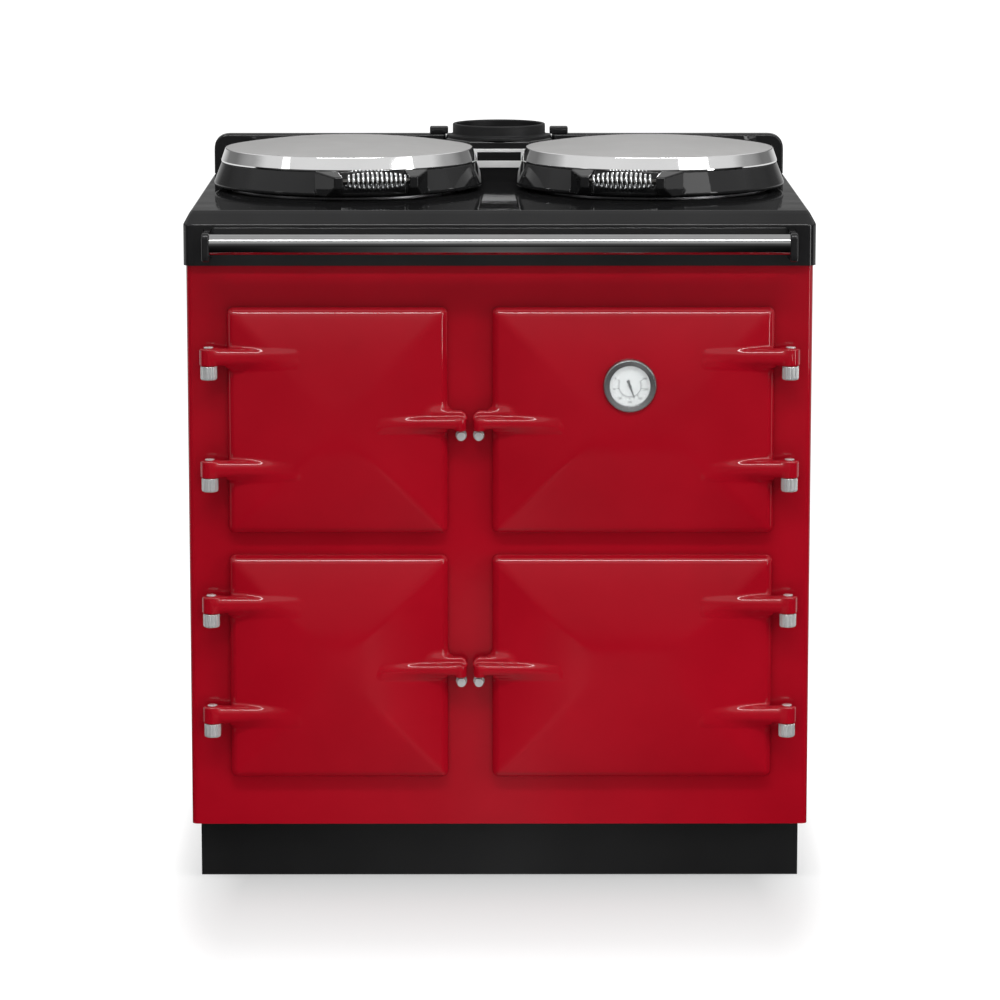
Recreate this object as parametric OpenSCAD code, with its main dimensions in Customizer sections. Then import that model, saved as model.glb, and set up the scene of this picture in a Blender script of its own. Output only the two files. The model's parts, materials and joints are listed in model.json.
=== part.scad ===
// Range cooker with two hotplates under hinged lids, two ovens and two burner doors.
// The front faces -Y and +Z is up. The origin is on the floor, at the middle of the footprint.

/* [Cabinet] */
// Depth from the front plate's face to the back panel's outer face
body_d = 552; // [540:1:620]
// Thickness of the cast front plate
plate_t = 12; // [9:0.5:15]
// Radius of the front plate's upright edges
plate_edge_r = 8; // [4:0.5:8.5]
// Thickness of the side and back sheets
sheet_t = 2; // [1.5:0.1:3]
// Thickness of the base plate
base_t = 4; // [3:0.5:6]

/* [Plinth] */
// Height of the plinth
plinth_h = 85; // [70:1:95]
// Setback of the plinth from the front plate's face
plinth_setback = 60; // [30:1:90]
// Inset of the plinth from each side and from the back of the body
plinth_inset = 8; // [4:1:20]
// Thickness of the plinth sheet
plinth_t = 2; // [1.5:0.1:3]
// Width of the folded returns along the plinth's edges
plinth_return = 25; // [18:1:32]
// Radius of a levelling foot's pad
foot_r = 20; // [15:1:25]
// Thickness of a levelling foot's pad
foot_pad_h = 8; // [5:1:12]
// Radius of a levelling foot's stem
foot_stem_r = 6; // [4:0.5:8]
// Distance from the plinth's corner faces to the feet
foot_inset = 62; // [55:1:90]

/* [Top plate] */
// Height of the top plate's skirt
skirt_h = 71; // [60:1:76]
// Overhang of the skirt beyond the front plate's face
skirt_front = 8; // [4:0.5:9]
// Overhang of the skirt beyond each side of the body
skirt_side = 3.2; // [1:0.2:6]
// Thickness of the skirt
skirt_t = 12; // [10:0.5:14]
// Radius of the skirt's rounded upper edge
skirt_edge_r = 17; // [10:0.5:20]
// Radius of the skirt's upright front corners
skirt_corner_r = 12; // [6:0.5:14]
// Thickness of the hob
hob_t = 12; // [11:0.5:15]
// Height of the upstand above the hob
upstand_h = 56; // [50:1:62]
// Thickness of the upstand
upstand_t = 26; // [20:1:27]
// Distance from the upstand's ends to the sides of the body
upstand_inset = 6; // [2:1:20]
// Radius of the upstand's upper corners
upstand_r = 22; // [8:1:30]

/* [Hotplates] */
// Distance between the centres of the two hotplates
hotplate_pitch = 412; // [396:1:430]
// Clearance between a lid and the flue box's front corners
flue_clear = 2.25; // [1:0.05:8]
// Distance from the upstand to the hotplates' centres
hotplate_back = 208; // [207:1:220]
// Radius of a hotplate
hotplate_r = 160.5; // [150:0.5:164]
// Height of a hotplate's surface above the hob
hotplate_proud = 2.5; // [1:0.5:3.5]
// Gap round a hotplate
hotplate_gap = 1.5; // [0.5:0.1:2.5]
// Width of the ledge that carries a hotplate
ledge_w = 10; // [6:1:14]
// Depth of that ledge below the hob surface
ledge_depth = 8; // [6:0.5:9]
// Depth of a hotplate's underside below the hob surface
hotplate_depth = 35; // [30:1:38]

/* [Flue] */
// Outer radius of the flue collar
collar_r = 65; // [60:0.5:66]
// Wall of the flue collar
collar_t = 5; // [3:0.5:6]
// Height of the flue collar above the flue box
collar_h = 19.5; // [15:0.5:30]
// Width of the ledge on which a flue spigot stands inside the collar
spigot_ledge = 4; // [2:0.5:6]
// Width of the collar's flange
collar_flange_w = 6; // [4:0.5:8]
// Thickness of the collar's flange
collar_flange_t = 4; // [3:0.5:6]
// Margin of the flue box beside the collar's flange
flue_box_margin = 4; // [2:0.5:10]
// Depth of the flue box
flue_box_d = 140; // [128:1:146]
// Width of the flue box at its front
flue_box_front_w = 88; // [80:1:90]
// Length of the flue box's slanted sides, along the depth
flue_box_taper = 48; // [40:1:56]
// Wall of the flue box
flue_box_t = 5; // [4:0.5:7]
// Outer width of the neck that feeds the flue box
flue_neck_w = 88; // [60:1:110]
// Outer depth of that neck
flue_neck_d = 84; // [60:1:96]
// Margin between the neck and the flueway's back, and between that and the upstand
neck_margin = 2; // [1:0.5:4]
// Wall of the neck and of the flueway under the hotplates
flueway_t = 5; // [4:0.5:7]
// Width of a clamp block beside the flue
clamp_w = 26; // [20:1:32]
// Depth of a clamp block
clamp_d = 21; // [16:1:24]
// Height of a clamp block
clamp_h = 10; // [7:0.5:14]
// Distance that a clamp block reaches over the flue box
clamp_overlap = 3; // [1:0.5:4]
// Distance from a clamp block to the back of the body
clamp_setback = 2; // [0:0.5:5]

/* [Badge] */
// Width of the badge plate
badge_w = 86; // [76:1:88]
// Height of the badge plate
badge_h = 26; // [20:1:30]
// Thickness of the badge plate
badge_t = 3; // [2:0.5:4]
// Height of the badge plate's lower edge above the hob
badge_z = 19; // [14:1:24]
// Width of the dark inset
inset_w = 61; // [50:1:66]
// Height of the dark inset
inset_h = 12; // [9:0.5:14]
// Height of the dark inset's lower edge above the badge plate's lower edge
inset_z = 9.6; // [6:0.2:11]
// Depth of the inset in the badge plate
inset_t = 1; // [0.6:0.1:1.4]

/* [Towel rail] */
// Diameter of the towel rail
rail_d = 26.5; // [22:0.5:30]
// Distance from the rail's brackets to the sides of the body
rail_inset = 35; // [20:1:60]
// Distance from the front plate's face to the rail's centre
rail_reach = 55; // [48:1:64]
// Depth of the rail's centre below the hob surface
rail_drop = 38; // [34:1:42]
// Wall of the rail tube
rail_t = 1.5; // [1:0.1:2.5]
// Depth to which the rail sits in each bracket
rail_socket = 6; // [4:0.5:8]
// Thickness of a rail bracket
bracket_t = 10; // [9:0.5:14]
// Height of a rail bracket
bracket_h = 38; // [34:1:42]
// Distance that a bracket reaches beyond the rail
bracket_rim = 2; // [1:0.5:5]
// Radius of a bracket's corners
bracket_r = 9; // [4:0.5:13]
// Depth of a bracket's centre below the rail's centre
bracket_sag = 3; // [0:0.5:4]

/* [Doors] */
// Width of the left-hand doors
left_door_w = 289; // [280:1:296]
// Width of the right-hand doors
right_door_w = 370; // [360:1:376]
// Height of each door
door_h = 300; // [290:1:304]
// Gap between the two columns of doors
door_col_gap = 58; // [56:1:66]
// Gap between the two rows of doors
door_row_gap = 29; // [24:1:34]
// Distance from the right-hand doors to the side of the body
door_side_margin = 50; // [46:1:54]
// Distance from the left-hand doors to the side of the body
door_left_margin = 53; // [50:1:60]
// Distance from the upper doors to the top plate's skirt
door_top_margin = 54; // [46:1:70]
// Distance from the body's lower edge to the lower doors
door_low_margin = 66; // [60:1:74]
// Gap between the front plate and a closed door
door_gap = 1; // [0.6:0.1:2]
// Distance that a door's rim stands out from the front plate
door_rim = 15; // [14:0.5:18]
// Rise of the door's vaulted face above its rim
door_dome = 18; // [14:0.5:22]
// Steepness of the vault at the rim, where 1 is a plain slope
vault_power = 2.2; // [1.2:0.1:3]
// Radius of a door's corners
door_corner_r = 8; // [6:0.5:12]
// Radius of the rounding round a door's face
door_edge_r = 4; // [2:0.5:5]
// Inset of the oven openings from the door's edges
opening_inset = 22; // [20:0.5:24]
// Radius of the openings' corners
opening_r = 12; // [6:1:16]
// Width of a door casting's rim
door_wall = 9; // [7:0.5:10]
// Depth of the recess behind a door's rim
door_recess = 8; // [6:0.5:9]
// Depth of the lightening pocket behind a door's face
door_pocket = 19; // [15:0.5:20]
// Inset of the lightening pocket from the door's edges
door_pocket_inset = 52; // [48:1:60]

/* [Door hinges and handles] */
// Distance from the side of the body to the hinge pins
pin_inset = 30; // [27:0.5:32]
// Distance that the hinge pins stand out from the front plate
pin_reach = 22; // [20:0.5:25]
// Radius of a hinge pin
pin_r = 5; // [3.5:0.25:6]
// Radius of a pin's cap
pin_cap_r = 7; // [6:0.25:9]
// Thickness of a pin's cap
pin_cap_h = 3; // [2:0.25:5]
// Step round the top of a pin's cap
pin_cap_step = 1; // [0.5:0.25:1.5]
// Radius of a hinge arm
arm_r = 11.75; // [10:0.25:12.5]
// Depth of the upper hinge arm below the door's top edge
arm_drop_upper = 64; // [50:1:80]
// Depth of the lower hinge arm below the door's top edge
arm_drop_lower = 212; // [195:1:230]
// Step between a hinge arm and its knuckle
knuckle_step = 0.5; // [0.3:0.1:1]
// Length of a hinge arm on the door's face
arm_run = 52; // [40:1:64]
// Radius of a hinge post's collar
post_r = 11; // [9:0.25:11.5]
// Height of a hinge post's collar
post_h = 18; // [14:0.5:24]
// Bevel of a hinge post's collar
post_bevel = 1.5; // [0.5:0.25:3]
// Radius of a hinge post's stem
post_stem_r = 6; // [5:0.25:7]
// Radius of a door handle
nose_r = 10.5; // [9:0.25:11.5]
// Depth of a door handle below the door's top edge
nose_drop = 143; // [134:1:152]
// Distance that a handle sticks out beyond the door's edge
nose_out = 25; // [22:0.5:26]
// Length of a handle on the door's face
nose_run = 78; // [60:1:90]
// Radius of the rounded lobe under a handle
lobe_r = 8.5; // [7:0.25:9]
// Height of the lobe's centre above the handle's underside
lobe_drop = 1; // [0:0.25:3]
// Depth of a catch stud's centre below the handle's centre
stud_drop = 26; // [25.5:0.25:30]
// Radius of a catch stud's ball
stud_ball_r = 5.7; // [4.5:0.1:6.5]
// Radius of a catch stud's foot
stud_foot_r = 7.4; // [6:0.1:7.5]
// Length of a catch stud's foot
stud_foot_h = 11; // [8:0.5:13]
// Distance from the front plate to a catch stud's ball
stud_reach = 20; // [17:0.5:24]

/* [Door liners and seals] */
// Clearance between a liner pan and its opening
pan_gap = 12; // [9:0.5:16]
// Depth of a liner pan behind the front plate's face
pan_depth = 20; // [12:1:24]
// Thickness of a liner pan's sheet
pan_t = 2; // [1:0.1:3]
// Width of a seal rope
seal_w = 8; // [6:0.5:9]

/* [Thermometer] */
// Distance from the right-hand door's centre line to the thermometer, towards the handle
thermo_shift = 5; // [0:1:40]
// Depth of the thermometer's centre below the door's top edge
thermo_drop = 101; // [90:1:120]
// Radius of the thermometer's bezel
bezel_r = 34.5; // [30:0.5:38]
// Width of the bezel's ring
bezel_w = 7; // [5:0.5:8]
// Distance from the front plate to the bezel's front
bezel_reach = 37; // [35:0.5:40]
// Height of the bezel above its seat
bezel_h = 10; // [7:0.5:12]
// Bevel round the bezel's front
bezel_bevel = 2; // [1:0.5:3]
// Width of the lip that holds the dial and the glass
bezel_lip = 1; // [0.5:0.5:2]
// Wall of the thermometer's housing
housing_t = 2; // [1.5:0.5:3]
// Length of the thermometer's housing behind its seat
housing_len = 16; // [10:1:18]
// Thickness of the dial
dial_t = 1; // [0.6:0.1:2]
// Thickness of the glass
thermo_glass_t = 1.5; // [1:0.1:2]
// Depth of the glass behind the bezel's front
glass_set = 1; // [0.5:0.1:2]
// Distance between the glass and the dial
dial_space = 4; // [3:0.5:5]
// Length of the pointer in front of its pivot
pointer_len = 17; // [12:0.5:19]
// Length of the pointer's tail
pointer_tail = 8; // [5:0.5:10]
// Width of the pointer at its pivot
pointer_w = 3.2; // [2:0.1:4]
// Width of the pointer's tail
pointer_tail_w = 5.2; // [3:0.1:6]
// Radius of the pointer's hub
pointer_hub_r = 3; // [2:0.25:4]
// Thickness of the pointer
pointer_t = 0.8; // [0.5:0.1:1]
// Gap between the pointer and the dial
pointer_gap = 0.5; // [0.3:0.1:1]
// Radius of the pointer's spindle
pointer_spindle_r = 1; // [0.8:0.1:1.5]
// Length of the spindle behind the dial's face
pointer_spindle_len = 3; // [2:0.5:5]
// Angle of the pointer at rest, from straight down
pointer_rest = 20; // [0:1:40]

/* [Ovens and burner] */
// Inner depth of the ovens
oven_d = 440; // [400:1:460]
// Wall of the oven and chamber castings
oven_t = 6; // [4:0.5:8]
// Depth of the burner compartment
compartment_d = 400; // [340:1:440]
// Height of an oven shelf above the oven's floor
shelf_z = 110; // [90:1:150]
// Radius of a shelf's wires
wire_r = 3; // [2:0.25:4]
// Number of bars across a shelf
shelf_bars = 11; // [7:1:17]
// Gap between a shelf's sides and the oven's walls
shelf_side_gap = 3; // [1:0.5:5]
// Gap between a shelf's back and the oven's back wall
shelf_back_gap = 8; // [5:1:20]
// Distance from the front plate's back to a shelf's front
shelf_setback = 30; // [20:1:50]
// Width of the runners that carry a shelf
runner_w = 10; // [7:0.5:14]
// Thickness of the runners
runner_t = 4; // [3:0.5:8]
// Radius of the burner pot
burner_r = 88; // [70:1:96]
// Wall of the burner pot
burner_t = 4; // [3:0.5:6]
// Width of the burner pot's flange
burner_flange = 12; // [8:1:16]
// Depth of the burner pot below the chamber's floor
burner_depth = 96; // [90:1:110]
// Radius of the gas passage in the chamber's roof and under the hotplates
passage_r = 100; // [80:1:110]
// Distance from the front plate's face to the control panel
panel_y = 200; // [150:1:230]
// Height of the control panel
panel_h = 150; // [120:1:170]
// Thickness of the control panel
panel_t = 3; // [2:0.5:5]
// Depth of the control panel's folded foot
panel_foot = 40; // [20:1:80]
// Height of the thermostat knob above the burner compartment's floor
knob_up = 90; // [50:1:120]
// Radius of the thermostat knob
knob_r = 20; // [15:0.5:26]
// Height of the thermostat knob
knob_h = 22; // [16:0.5:28]
// Radius of the knob's narrower front
knob_front_r = 16; // [12:0.5:19]
// Length of the knob's wide part
knob_skirt_h = 11; // [5:0.5:14]
// Width and depth of the mark in the knob's front
knob_mark = 2; // [1:0.1:3]
// Radius of the thermostat's spindle
spindle_r = 3; // [2:0.25:4]
// Length of the spindle behind the panel
spindle_len = 9; // [4:1:20]

/* [Lids] */
// Angle by which each lid is turned towards the middle
lid_turn = 12; // [8:1:14]
// Distance that a lid reaches beyond its hotplate
lid_over = 24.5; // [20:0.5:27]
// Slope of the lid's base, from its lower edge to its top
lid_taper = 11; // [6:0.5:14]
// Thickness of the base's wall at its top
lid_wall = 7; // [4:0.5:9]
// Gap between the hob and a lid
lid_gap = 5; // [4:0.5:7]
// Height of the lid's enamelled base
lid_base_h = 33; // [30:0.5:36]
// Height of the bright cover's side
cover_side_h = 18; // [14:0.5:20]
// Distance that the cover stands out over the base's top
cover_over = 1; // [0.5:0.5:3]
// Slope of the cover's side
cover_taper = 5.5; // [3:0.5:8]
// Height of the upright band at the cover's lower edge
cover_band = 2; // [1:0.5:4]
// Rise of the cover's dome
cover_rise = 14; // [8:0.5:16]
// Thickness of the cover's sheet
cover_t = 1.5; // [1:0.1:2]
// Radius of the rounding round the base's lower edge
lid_edge_r = 5; // [3:0.5:6]
// Thickness of the base's roof
lid_roof_t = 6; // [4:0.5:8]
// Thickness of the polished liner inside a lid
lid_liner_t = 1.5; // [1:0.1:2.5]
// Height of the liner above the lid's lower edge
lid_liner_z = 4; // [3:0.5:8]

/* [Lid handles] */
// Distance from the lid's edge to the handle's rod
handle_out = 15; // [13:0.5:20]
// Height of the handle's rod above the lid's lower edge
handle_z = 22; // [20:0.5:24]
// Length of the sprung grip
grip_len = 88; // [80:1:96]
// Largest outer diameter of the grip
grip_d = 24.5; // [20:0.5:26]
// Outer diameter of the grip at its ends
grip_end_d = 14; // [13.5:0.5:16]
// Number of turns in the grip
grip_turns = 13; // [9:1:15]
// Diameter of the grip's wire
grip_wire = 2.7; // [2:0.1:3]
// Radius of the rod inside the grip
rod_r = 3.5; // [2.5:0.1:3.8]
// Depth to which the rod sits in each lug
rod_seat = 8; // [5:0.5:11]
// Width of a lug's front face
lug_w = 14; // [12:0.5:18]
// Spread of a lug's slanted side
lug_spread = 14; // [8:1:20]
// Distance that a lug stands in front of the rod
lug_front = 6; // [5:0.5:8]
// Height of a lug
lug_h = 26; // [20:0.5:28]
// Depth of the lugs' tops below the top of the lid's base
lug_top_drop = 1; // [0.5:0.5:3]
// Depth to which the lugs run into the lid's base
lug_root = 6; // [4:0.5:7]

/* [Lid hinges] */
// Distance from the lid's edge to its hinge axis
hinge_out = 10; // [9:0.5:12]
// Height of the hinge axis above the lid's lower edge
hinge_z = 43; // [40:0.5:48]
// Height of the hinge lug's underside above the lid's lower edge
hinge_lug_z = 10; // [6:0.5:14]
// Clearance between the hinge lug and the bright cover
cover_clear = 2.5; // [1:0.5:4]
// Radius of a hinge barrel
barrel_r = 8; // [7:0.25:8.5]
// Length of a hinge barrel
barrel_len = 38; // [30:1:44]
// Radius of a lid's hinge pin
lid_pin_r = 4; // [3:0.25:5]
// Thickness of a hinge ear
ear_t = 8; // [6:0.5:10]
// Thickness of a lid's hinge pin's heads
lid_pin_head_t = 3; // [2:0.5:4]
// Radius of those heads
lid_pin_head_r = 6; // [5:0.5:7]
// Thickness of a hinge bracket's foot
ear_foot_t = 5; // [4:0.5:6]

/* [Clearances] */
// Radial clearance of a running fit
running_fit = 0.05; // [0.02:0.01:0.09]
// Clearance where one piece seats beside another
seat_gap = 0.3; // [0.2:0.05:0.5]

/* [Hidden] */
$fn = 64;
cut = 1;
left = -1;
right = 1;

red = [0.62, 0.06, 0.10];
black = [0.08, 0.08, 0.08];
iron = [0.22, 0.22, 0.23];
steel = [0.60, 0.61, 0.62];
chrome = [0.80, 0.81, 0.83];
wool = [0.78, 0.74, 0.60];

body_w = door_left_margin + left_door_w + door_col_gap + right_door_w + door_side_margin;
rail_len = body_w - 2 * rail_inset;
rail_front = rail_reach + rail_d / 2 + bracket_rim;
mid_y = (body_d - rail_front) / 2;
base_z = plinth_h + base_t;

right_door_x = body_w / 2 - door_side_margin - right_door_w / 2;
left_door_x = door_left_margin + left_door_w / 2 - body_w / 2;
lower_door_z = plinth_h + door_low_margin + door_h / 2;
upper_door_z = lower_door_z + door_h + door_row_gap;
pin_x = body_w / 2 - pin_inset;
skirt_z = upper_door_z + door_h / 2 + door_top_margin;
hob_h = skirt_z + skirt_h;

collar_flange_r = collar_r + collar_flange_w;
flue_y = body_d - collar_flange_r;
flue_top = hob_h + upstand_h;
flue_box_w = 2 * (collar_flange_r + flue_box_margin);
flue_box_y = body_d - flue_box_d;
upstand_w = body_w - 2 * upstand_inset;
upstand_y = body_d - upstand_t;

lid_r = hotplate_r + lid_over;
lid_base_top_r = lid_r - lid_taper;
lid_inner_r = lid_base_top_r - lid_wall;
cover_r = lid_base_top_r + cover_over;
cover_top_r = cover_r - cover_taper;
handle_reach = lid_r + handle_out;
hinge_reach = lid_r + hinge_out;
lid_to_flue_x = (hotplate_pitch - flue_box_front_w) / 2;
lid_to_flue_y = sqrt(max(0, pow(lid_r + flue_clear, 2) - pow(lid_to_flue_x, 2)));
hotplate_y = min(flue_box_y - lid_to_flue_y, upstand_y - hotplate_back);

arm_drops = [arm_drop_upper, arm_drop_lower];
opening_h = door_h - 2 * opening_inset;
left_opening_w = left_door_w - 2 * opening_inset;
right_opening_w = right_door_w - 2 * opening_inset;

oven_left = right_door_x - right_opening_w / 2 - oven_t;
oven_right = right_door_x + right_opening_w / 2 + oven_t;
chamber_left = left_door_x - left_opening_w / 2 - oven_t;
chamber_right = left_door_x + left_opening_w / 2 + oven_t;
oven_back = plate_t + oven_d + oven_t;
half_box_h = opening_h / 2 + oven_t;
flueway_z = upper_door_z + half_box_h;
flueway_top = hob_h - hotplate_depth;
flueway_back = upstand_y - neck_margin;
neck_y = flueway_back - neck_margin - flue_neck_d / 2;
chamber_floor = upper_door_z - opening_h / 2;
chamber_y = plate_t + oven_d / 2;
hotplate_foot_r = hotplate_r - ledge_w;

thermo_x = right_door_x - thermo_shift;
thermo_z = upper_door_z + door_h / 2 - thermo_drop;
seat_y = -bezel_reach + bezel_h;
glass_y = glass_set - bezel_reach;
dial_y = glass_y + thermo_glass_t + dial_space;
dial_r = bezel_r - bezel_w - bezel_lip - running_fit;
knob_x = left_door_x - left_opening_w / 4;
knob_z = lower_door_z - opening_h / 2 + knob_up;

// Share of the way to the door's middle at which the vault ends in a small flat
vault_reach = 0.94;
least_corner_r = 1.5;

// Depth of the vaulted door face at a distance from the door's edge
function vault(distance, half) = door_rim
  + door_dome * (1 - pow(1 - min(distance, half) / half, vault_power));

// Corner points of a rounded rectangle, three to a corner, at depth y
function ring(w, h, r, y) = [for (quarter = [0:3], step = [0:2])
  let (a = 90 * quarter + 45 * step,
    sx = quarter == 0 || quarter == 3 ? 1 : -1,
    sz = quarter < 2 ? 1 : -1)
  [sx * (w / 2 - r) + r * cos(a), y, sz * (h / 2 - r) + r * sin(a)]];

// Closed solid through a list of rings with the same number of points
module loft(rings) {
  count = len(rings[0]);
  last = len(rings) - 1;
  points = [for (one = rings) each one];
  walls = [for (i = [0:last - 1], j = [0:count - 1])
    let (a = i * count + j, b = i * count + (j + 1) % count)
    each [[a, a + count, b], [b, a + count, b + count]]];
  first_cap = [for (j = [1:count - 2]) [0, j, j + 1]];
  last_cap = [for (j = [1:count - 2]) let (o = last * count) [o, o + j + 1, o + j]];
  polyhedron(points, concat(walls, first_cap, last_cap));
}

// Flat rectangle with rounded corners, centred
module rounded_rect(w, h, r) {
  square([w - 2 * r, h], center = true);
  square([w, h - 2 * r], center = true);
  for (sx = [-1, 1], sy = [-1, 1])
    translate([sx * (w / 2 - r), sy * (h / 2 - r)]) circle(r);
}

// Extrudes an X and Z outline along Y from y0 to y1
module along_y(y0, y1) {
  translate([0, y1, 0]) rotate([90, 0, 0]) linear_extrude(y1 - y0) children();
}

// Extrudes a Y and Z outline along X from x0 to x1
module along_x(x0, x1) {
  translate([x0, 0, 0]) rotate([90, 0, 90]) linear_extrude(x1 - x0) children();
}

// Box between two opposite corners
module block(low, high) {
  translate(low) cube(high - low);
}

// Cylinder along Y from y0 to y1
module bar_y(r, y0, y1) {
  translate([0, y1, 0]) rotate([90, 0, 0]) cylinder(h = y1 - y0, r = r);
}

// Cylinder along X from x0 to x1
module bar_x(r, x0, x1) {
  translate([x0, 0, 0]) rotate([0, 90, 0]) cylinder(h = x1 - x0, r = r);
}

// Puts a model with the front plate's face at y = 0 over the origin
module place() {
  translate([0, -mid_y, 0]) children();
}

module plinth() {
  x = body_w / 2 - plinth_inset;
  back = body_d - plinth_inset;
  color(black) difference() {
    block([-x, plinth_setback, 0], [x, back, plinth_h]);
    block([-x + plinth_t, plinth_setback + plinth_t, plinth_t],
      [x - plinth_t, back - plinth_t, plinth_h - plinth_t]);
    block([-x + plinth_return, plinth_setback + plinth_return, -cut],
      [x - plinth_return, back - plinth_return, plinth_h + cut]);
  }
}

module levelling_feet() {
  x = body_w / 2 - plinth_inset - foot_inset;
  front = plinth_setback + foot_inset;
  back = body_d - plinth_inset - foot_inset;
  color(steel) for (sx = [left, right], y = [front, back]) translate([sx * x, y, 0]) {
    cylinder(h = foot_pad_h, r = foot_r);
    cylinder(h = plinth_h, r = foot_stem_r);
  }
}

module base_plate() {
  x = body_w / 2 - sheet_t;
  color(steel) block([-x, plate_t, plinth_h], [x, body_d - sheet_t, base_z]);
}

module side_panel(side) {
  outer = body_w / 2;
  color(red) translate([side < 0 ? -outer : outer - sheet_t, plate_t, plinth_h])
    cube([sheet_t, body_d - plate_t, skirt_z - plinth_h]);
}

module back_panel() {
  x = body_w / 2 - sheet_t;
  color(black) block([-x, body_d - sheet_t, plinth_h], [x, body_d, skirt_z]);
}

module opening_outline(x, z, w) {
  translate([x, z]) rounded_rect(w, opening_h, opening_r);
}

module front_plate() {
  x = body_w / 2 - plate_edge_r;
  color(red) difference() {
    translate([0, 0, plinth_h]) linear_extrude(skirt_z - plinth_h) {
      translate([-x, 0]) square([2 * x, plate_t]);
      translate([-body_w / 2, plate_edge_r]) square([body_w, plate_t - plate_edge_r]);
      for (sx = [left, right]) translate([sx * x, plate_edge_r]) circle(plate_edge_r);
    }
    block([-body_w / 2 - cut, plate_t, plinth_h - cut],
      [body_w / 2 + cut, plate_t + plate_edge_r + cut, skirt_z + cut]);
    for (z = [lower_door_z, upper_door_z]) along_y(-cut, plate_t + cut) {
      opening_outline(left_door_x, z, left_opening_w);
      opening_outline(right_door_x, z, right_opening_w);
    }
  }
}

// The hob's outer form: rounded upper edges and rounded upright front corners
module hob_form() {
  x = body_w / 2 + skirt_side;
  r = skirt_edge_r;
  intersection() {
    along_y(-skirt_front, body_d) {
      translate([-x, skirt_z]) square([2 * x, skirt_h - r]);
      translate([-x + r, skirt_z]) square([2 * x - 2 * r, skirt_h]);
      for (sx = [left, right]) translate([sx * (x - r), hob_h - r]) circle(r);
    }
    along_x(-x, x) {
      translate([-skirt_front, skirt_z]) square([body_d + skirt_front, skirt_h - r]);
      translate([-skirt_front + r, skirt_z]) square([body_d + skirt_front - r, skirt_h]);
      translate([-skirt_front + r, hob_h - r]) circle(r);
    }
    translate([0, 0, skirt_z]) linear_extrude(skirt_h) {
      translate([-x, -skirt_front + skirt_corner_r])
        square([2 * x, body_d + skirt_front - skirt_corner_r]);
      translate([-x + skirt_corner_r, -skirt_front])
        square([2 * x - 2 * skirt_corner_r, 2 * skirt_corner_r]);
      for (sx = [left, right])
        translate([sx * (x - skirt_corner_r), -skirt_front + skirt_corner_r])
          circle(skirt_corner_r);
    }
  }
}

module upstand() {
  x = upstand_w / 2;
  notch = flue_box_w / 2 + seat_gap;
  color(black) difference() {
    along_y(upstand_y, body_d) {
      translate([-x, hob_h]) square([2 * x, upstand_h - upstand_r]);
      translate([-x + upstand_r, hob_h]) square([2 * x - 2 * upstand_r, upstand_h]);
      for (sx = [left, right]) translate([sx * (x - upstand_r), flue_top - upstand_r])
        circle(upstand_r);
    }
    block([-notch, upstand_y - cut, hob_h - cut], [notch, body_d + cut, flue_top + cut]);
  }
}

module top_plate() {
  x = body_w / 2 + skirt_side - skirt_t;
  color(black) difference() {
    hob_form();
    block([-x, skirt_t - skirt_front, skirt_z - cut], [x, body_d - skirt_t, hob_h - hob_t]);
    for (sx = [left, right]) translate([sx * hotplate_pitch / 2, hotplate_y, 0]) {
      translate([0, 0, hob_h - ledge_depth])
        cylinder(h = ledge_depth + cut, r = hotplate_r + hotplate_gap);
      translate([0, 0, skirt_z]) cylinder(h = skirt_h, r = hotplate_foot_r + hotplate_gap);
    }
    neck_block(-seat_gap, skirt_z, hob_h + cut);
  }
}

// Block along the neck from z0 to z1, drawn in by t on every side
module neck_block(t, z0, z1) {
  half = [flue_neck_w / 2 - t, flue_neck_d / 2 - t];
  block([-half[0], neck_y - half[1], z0], [half[0], neck_y + half[1], z1]);
}

module hotplate(side) {
  color(iron) translate([side * hotplate_pitch / 2, hotplate_y, 0]) {
    translate([0, 0, hob_h - ledge_depth])
      cylinder(h = ledge_depth + hotplate_proud, r = hotplate_r);
    translate([0, 0, flueway_top])
      cylinder(h = hotplate_depth - ledge_depth, r = hotplate_foot_r);
  }
}

module flueway() {
  t = flueway_t;
  low = [chamber_left, plate_t, flueway_z];
  high = [oven_right, flueway_back, flueway_top];
  color(iron) difference() {
    union() {
      block(low, high);
      neck_block(0, flueway_top - t, hob_h);
    }
    block(low + [t, t, t], high - [t, t, t]);
    for (sx = [left, right])
      translate([sx * hotplate_pitch / 2, hotplate_y, flueway_top - t - cut])
        cylinder(h = t + 2 * cut, r = passage_r);
    translate([left_door_x, chamber_y, flueway_z - cut])
      cylinder(h = t + 2 * cut, r = passage_r);
    neck_block(t, flueway_top - t - cut, hob_h + cut);
  }
}

// Plan of the flue box, drawn in by t on every side
module flue_plan(t) {
  front = flue_box_front_w / 2 - t;
  back = flue_box_w / 2 - t;
  polygon([[-front, flue_box_y + t], [front, flue_box_y + t],
    [back, flue_box_y + flue_box_taper], [back, body_d - t],
    [-back, body_d - t], [-back, flue_box_y + flue_box_taper]]);
}

module flue_box() {
  color(black) difference() {
    translate([0, 0, hob_h]) linear_extrude(upstand_h) flue_plan(0);
    translate([0, 0, hob_h - cut]) linear_extrude(upstand_h - flue_box_t + cut)
      flue_plan(flue_box_t);
    translate([0, flue_y, hob_h])
      cylinder(h = upstand_h + cut, r = collar_r - collar_t - spigot_ledge);
  }
}

module flue_collar() {
  color(black) translate([0, flue_y, flue_top]) difference() {
    union() {
      cylinder(h = collar_flange_t, r = collar_flange_r);
      cylinder(h = collar_h, r = collar_r);
    }
    translate([0, 0, -cut]) cylinder(h = collar_h + 2 * cut, r = collar_r - collar_t);
  }
}

module flue_clamps() {
  inner = flue_box_w / 2 - clamp_overlap;
  y = body_d - clamp_setback - clamp_d;
  color(black) for (x = [-inner - clamp_w, inner])
    translate([x, y, flue_top]) cube([clamp_w, clamp_d, clamp_h]);
}

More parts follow.
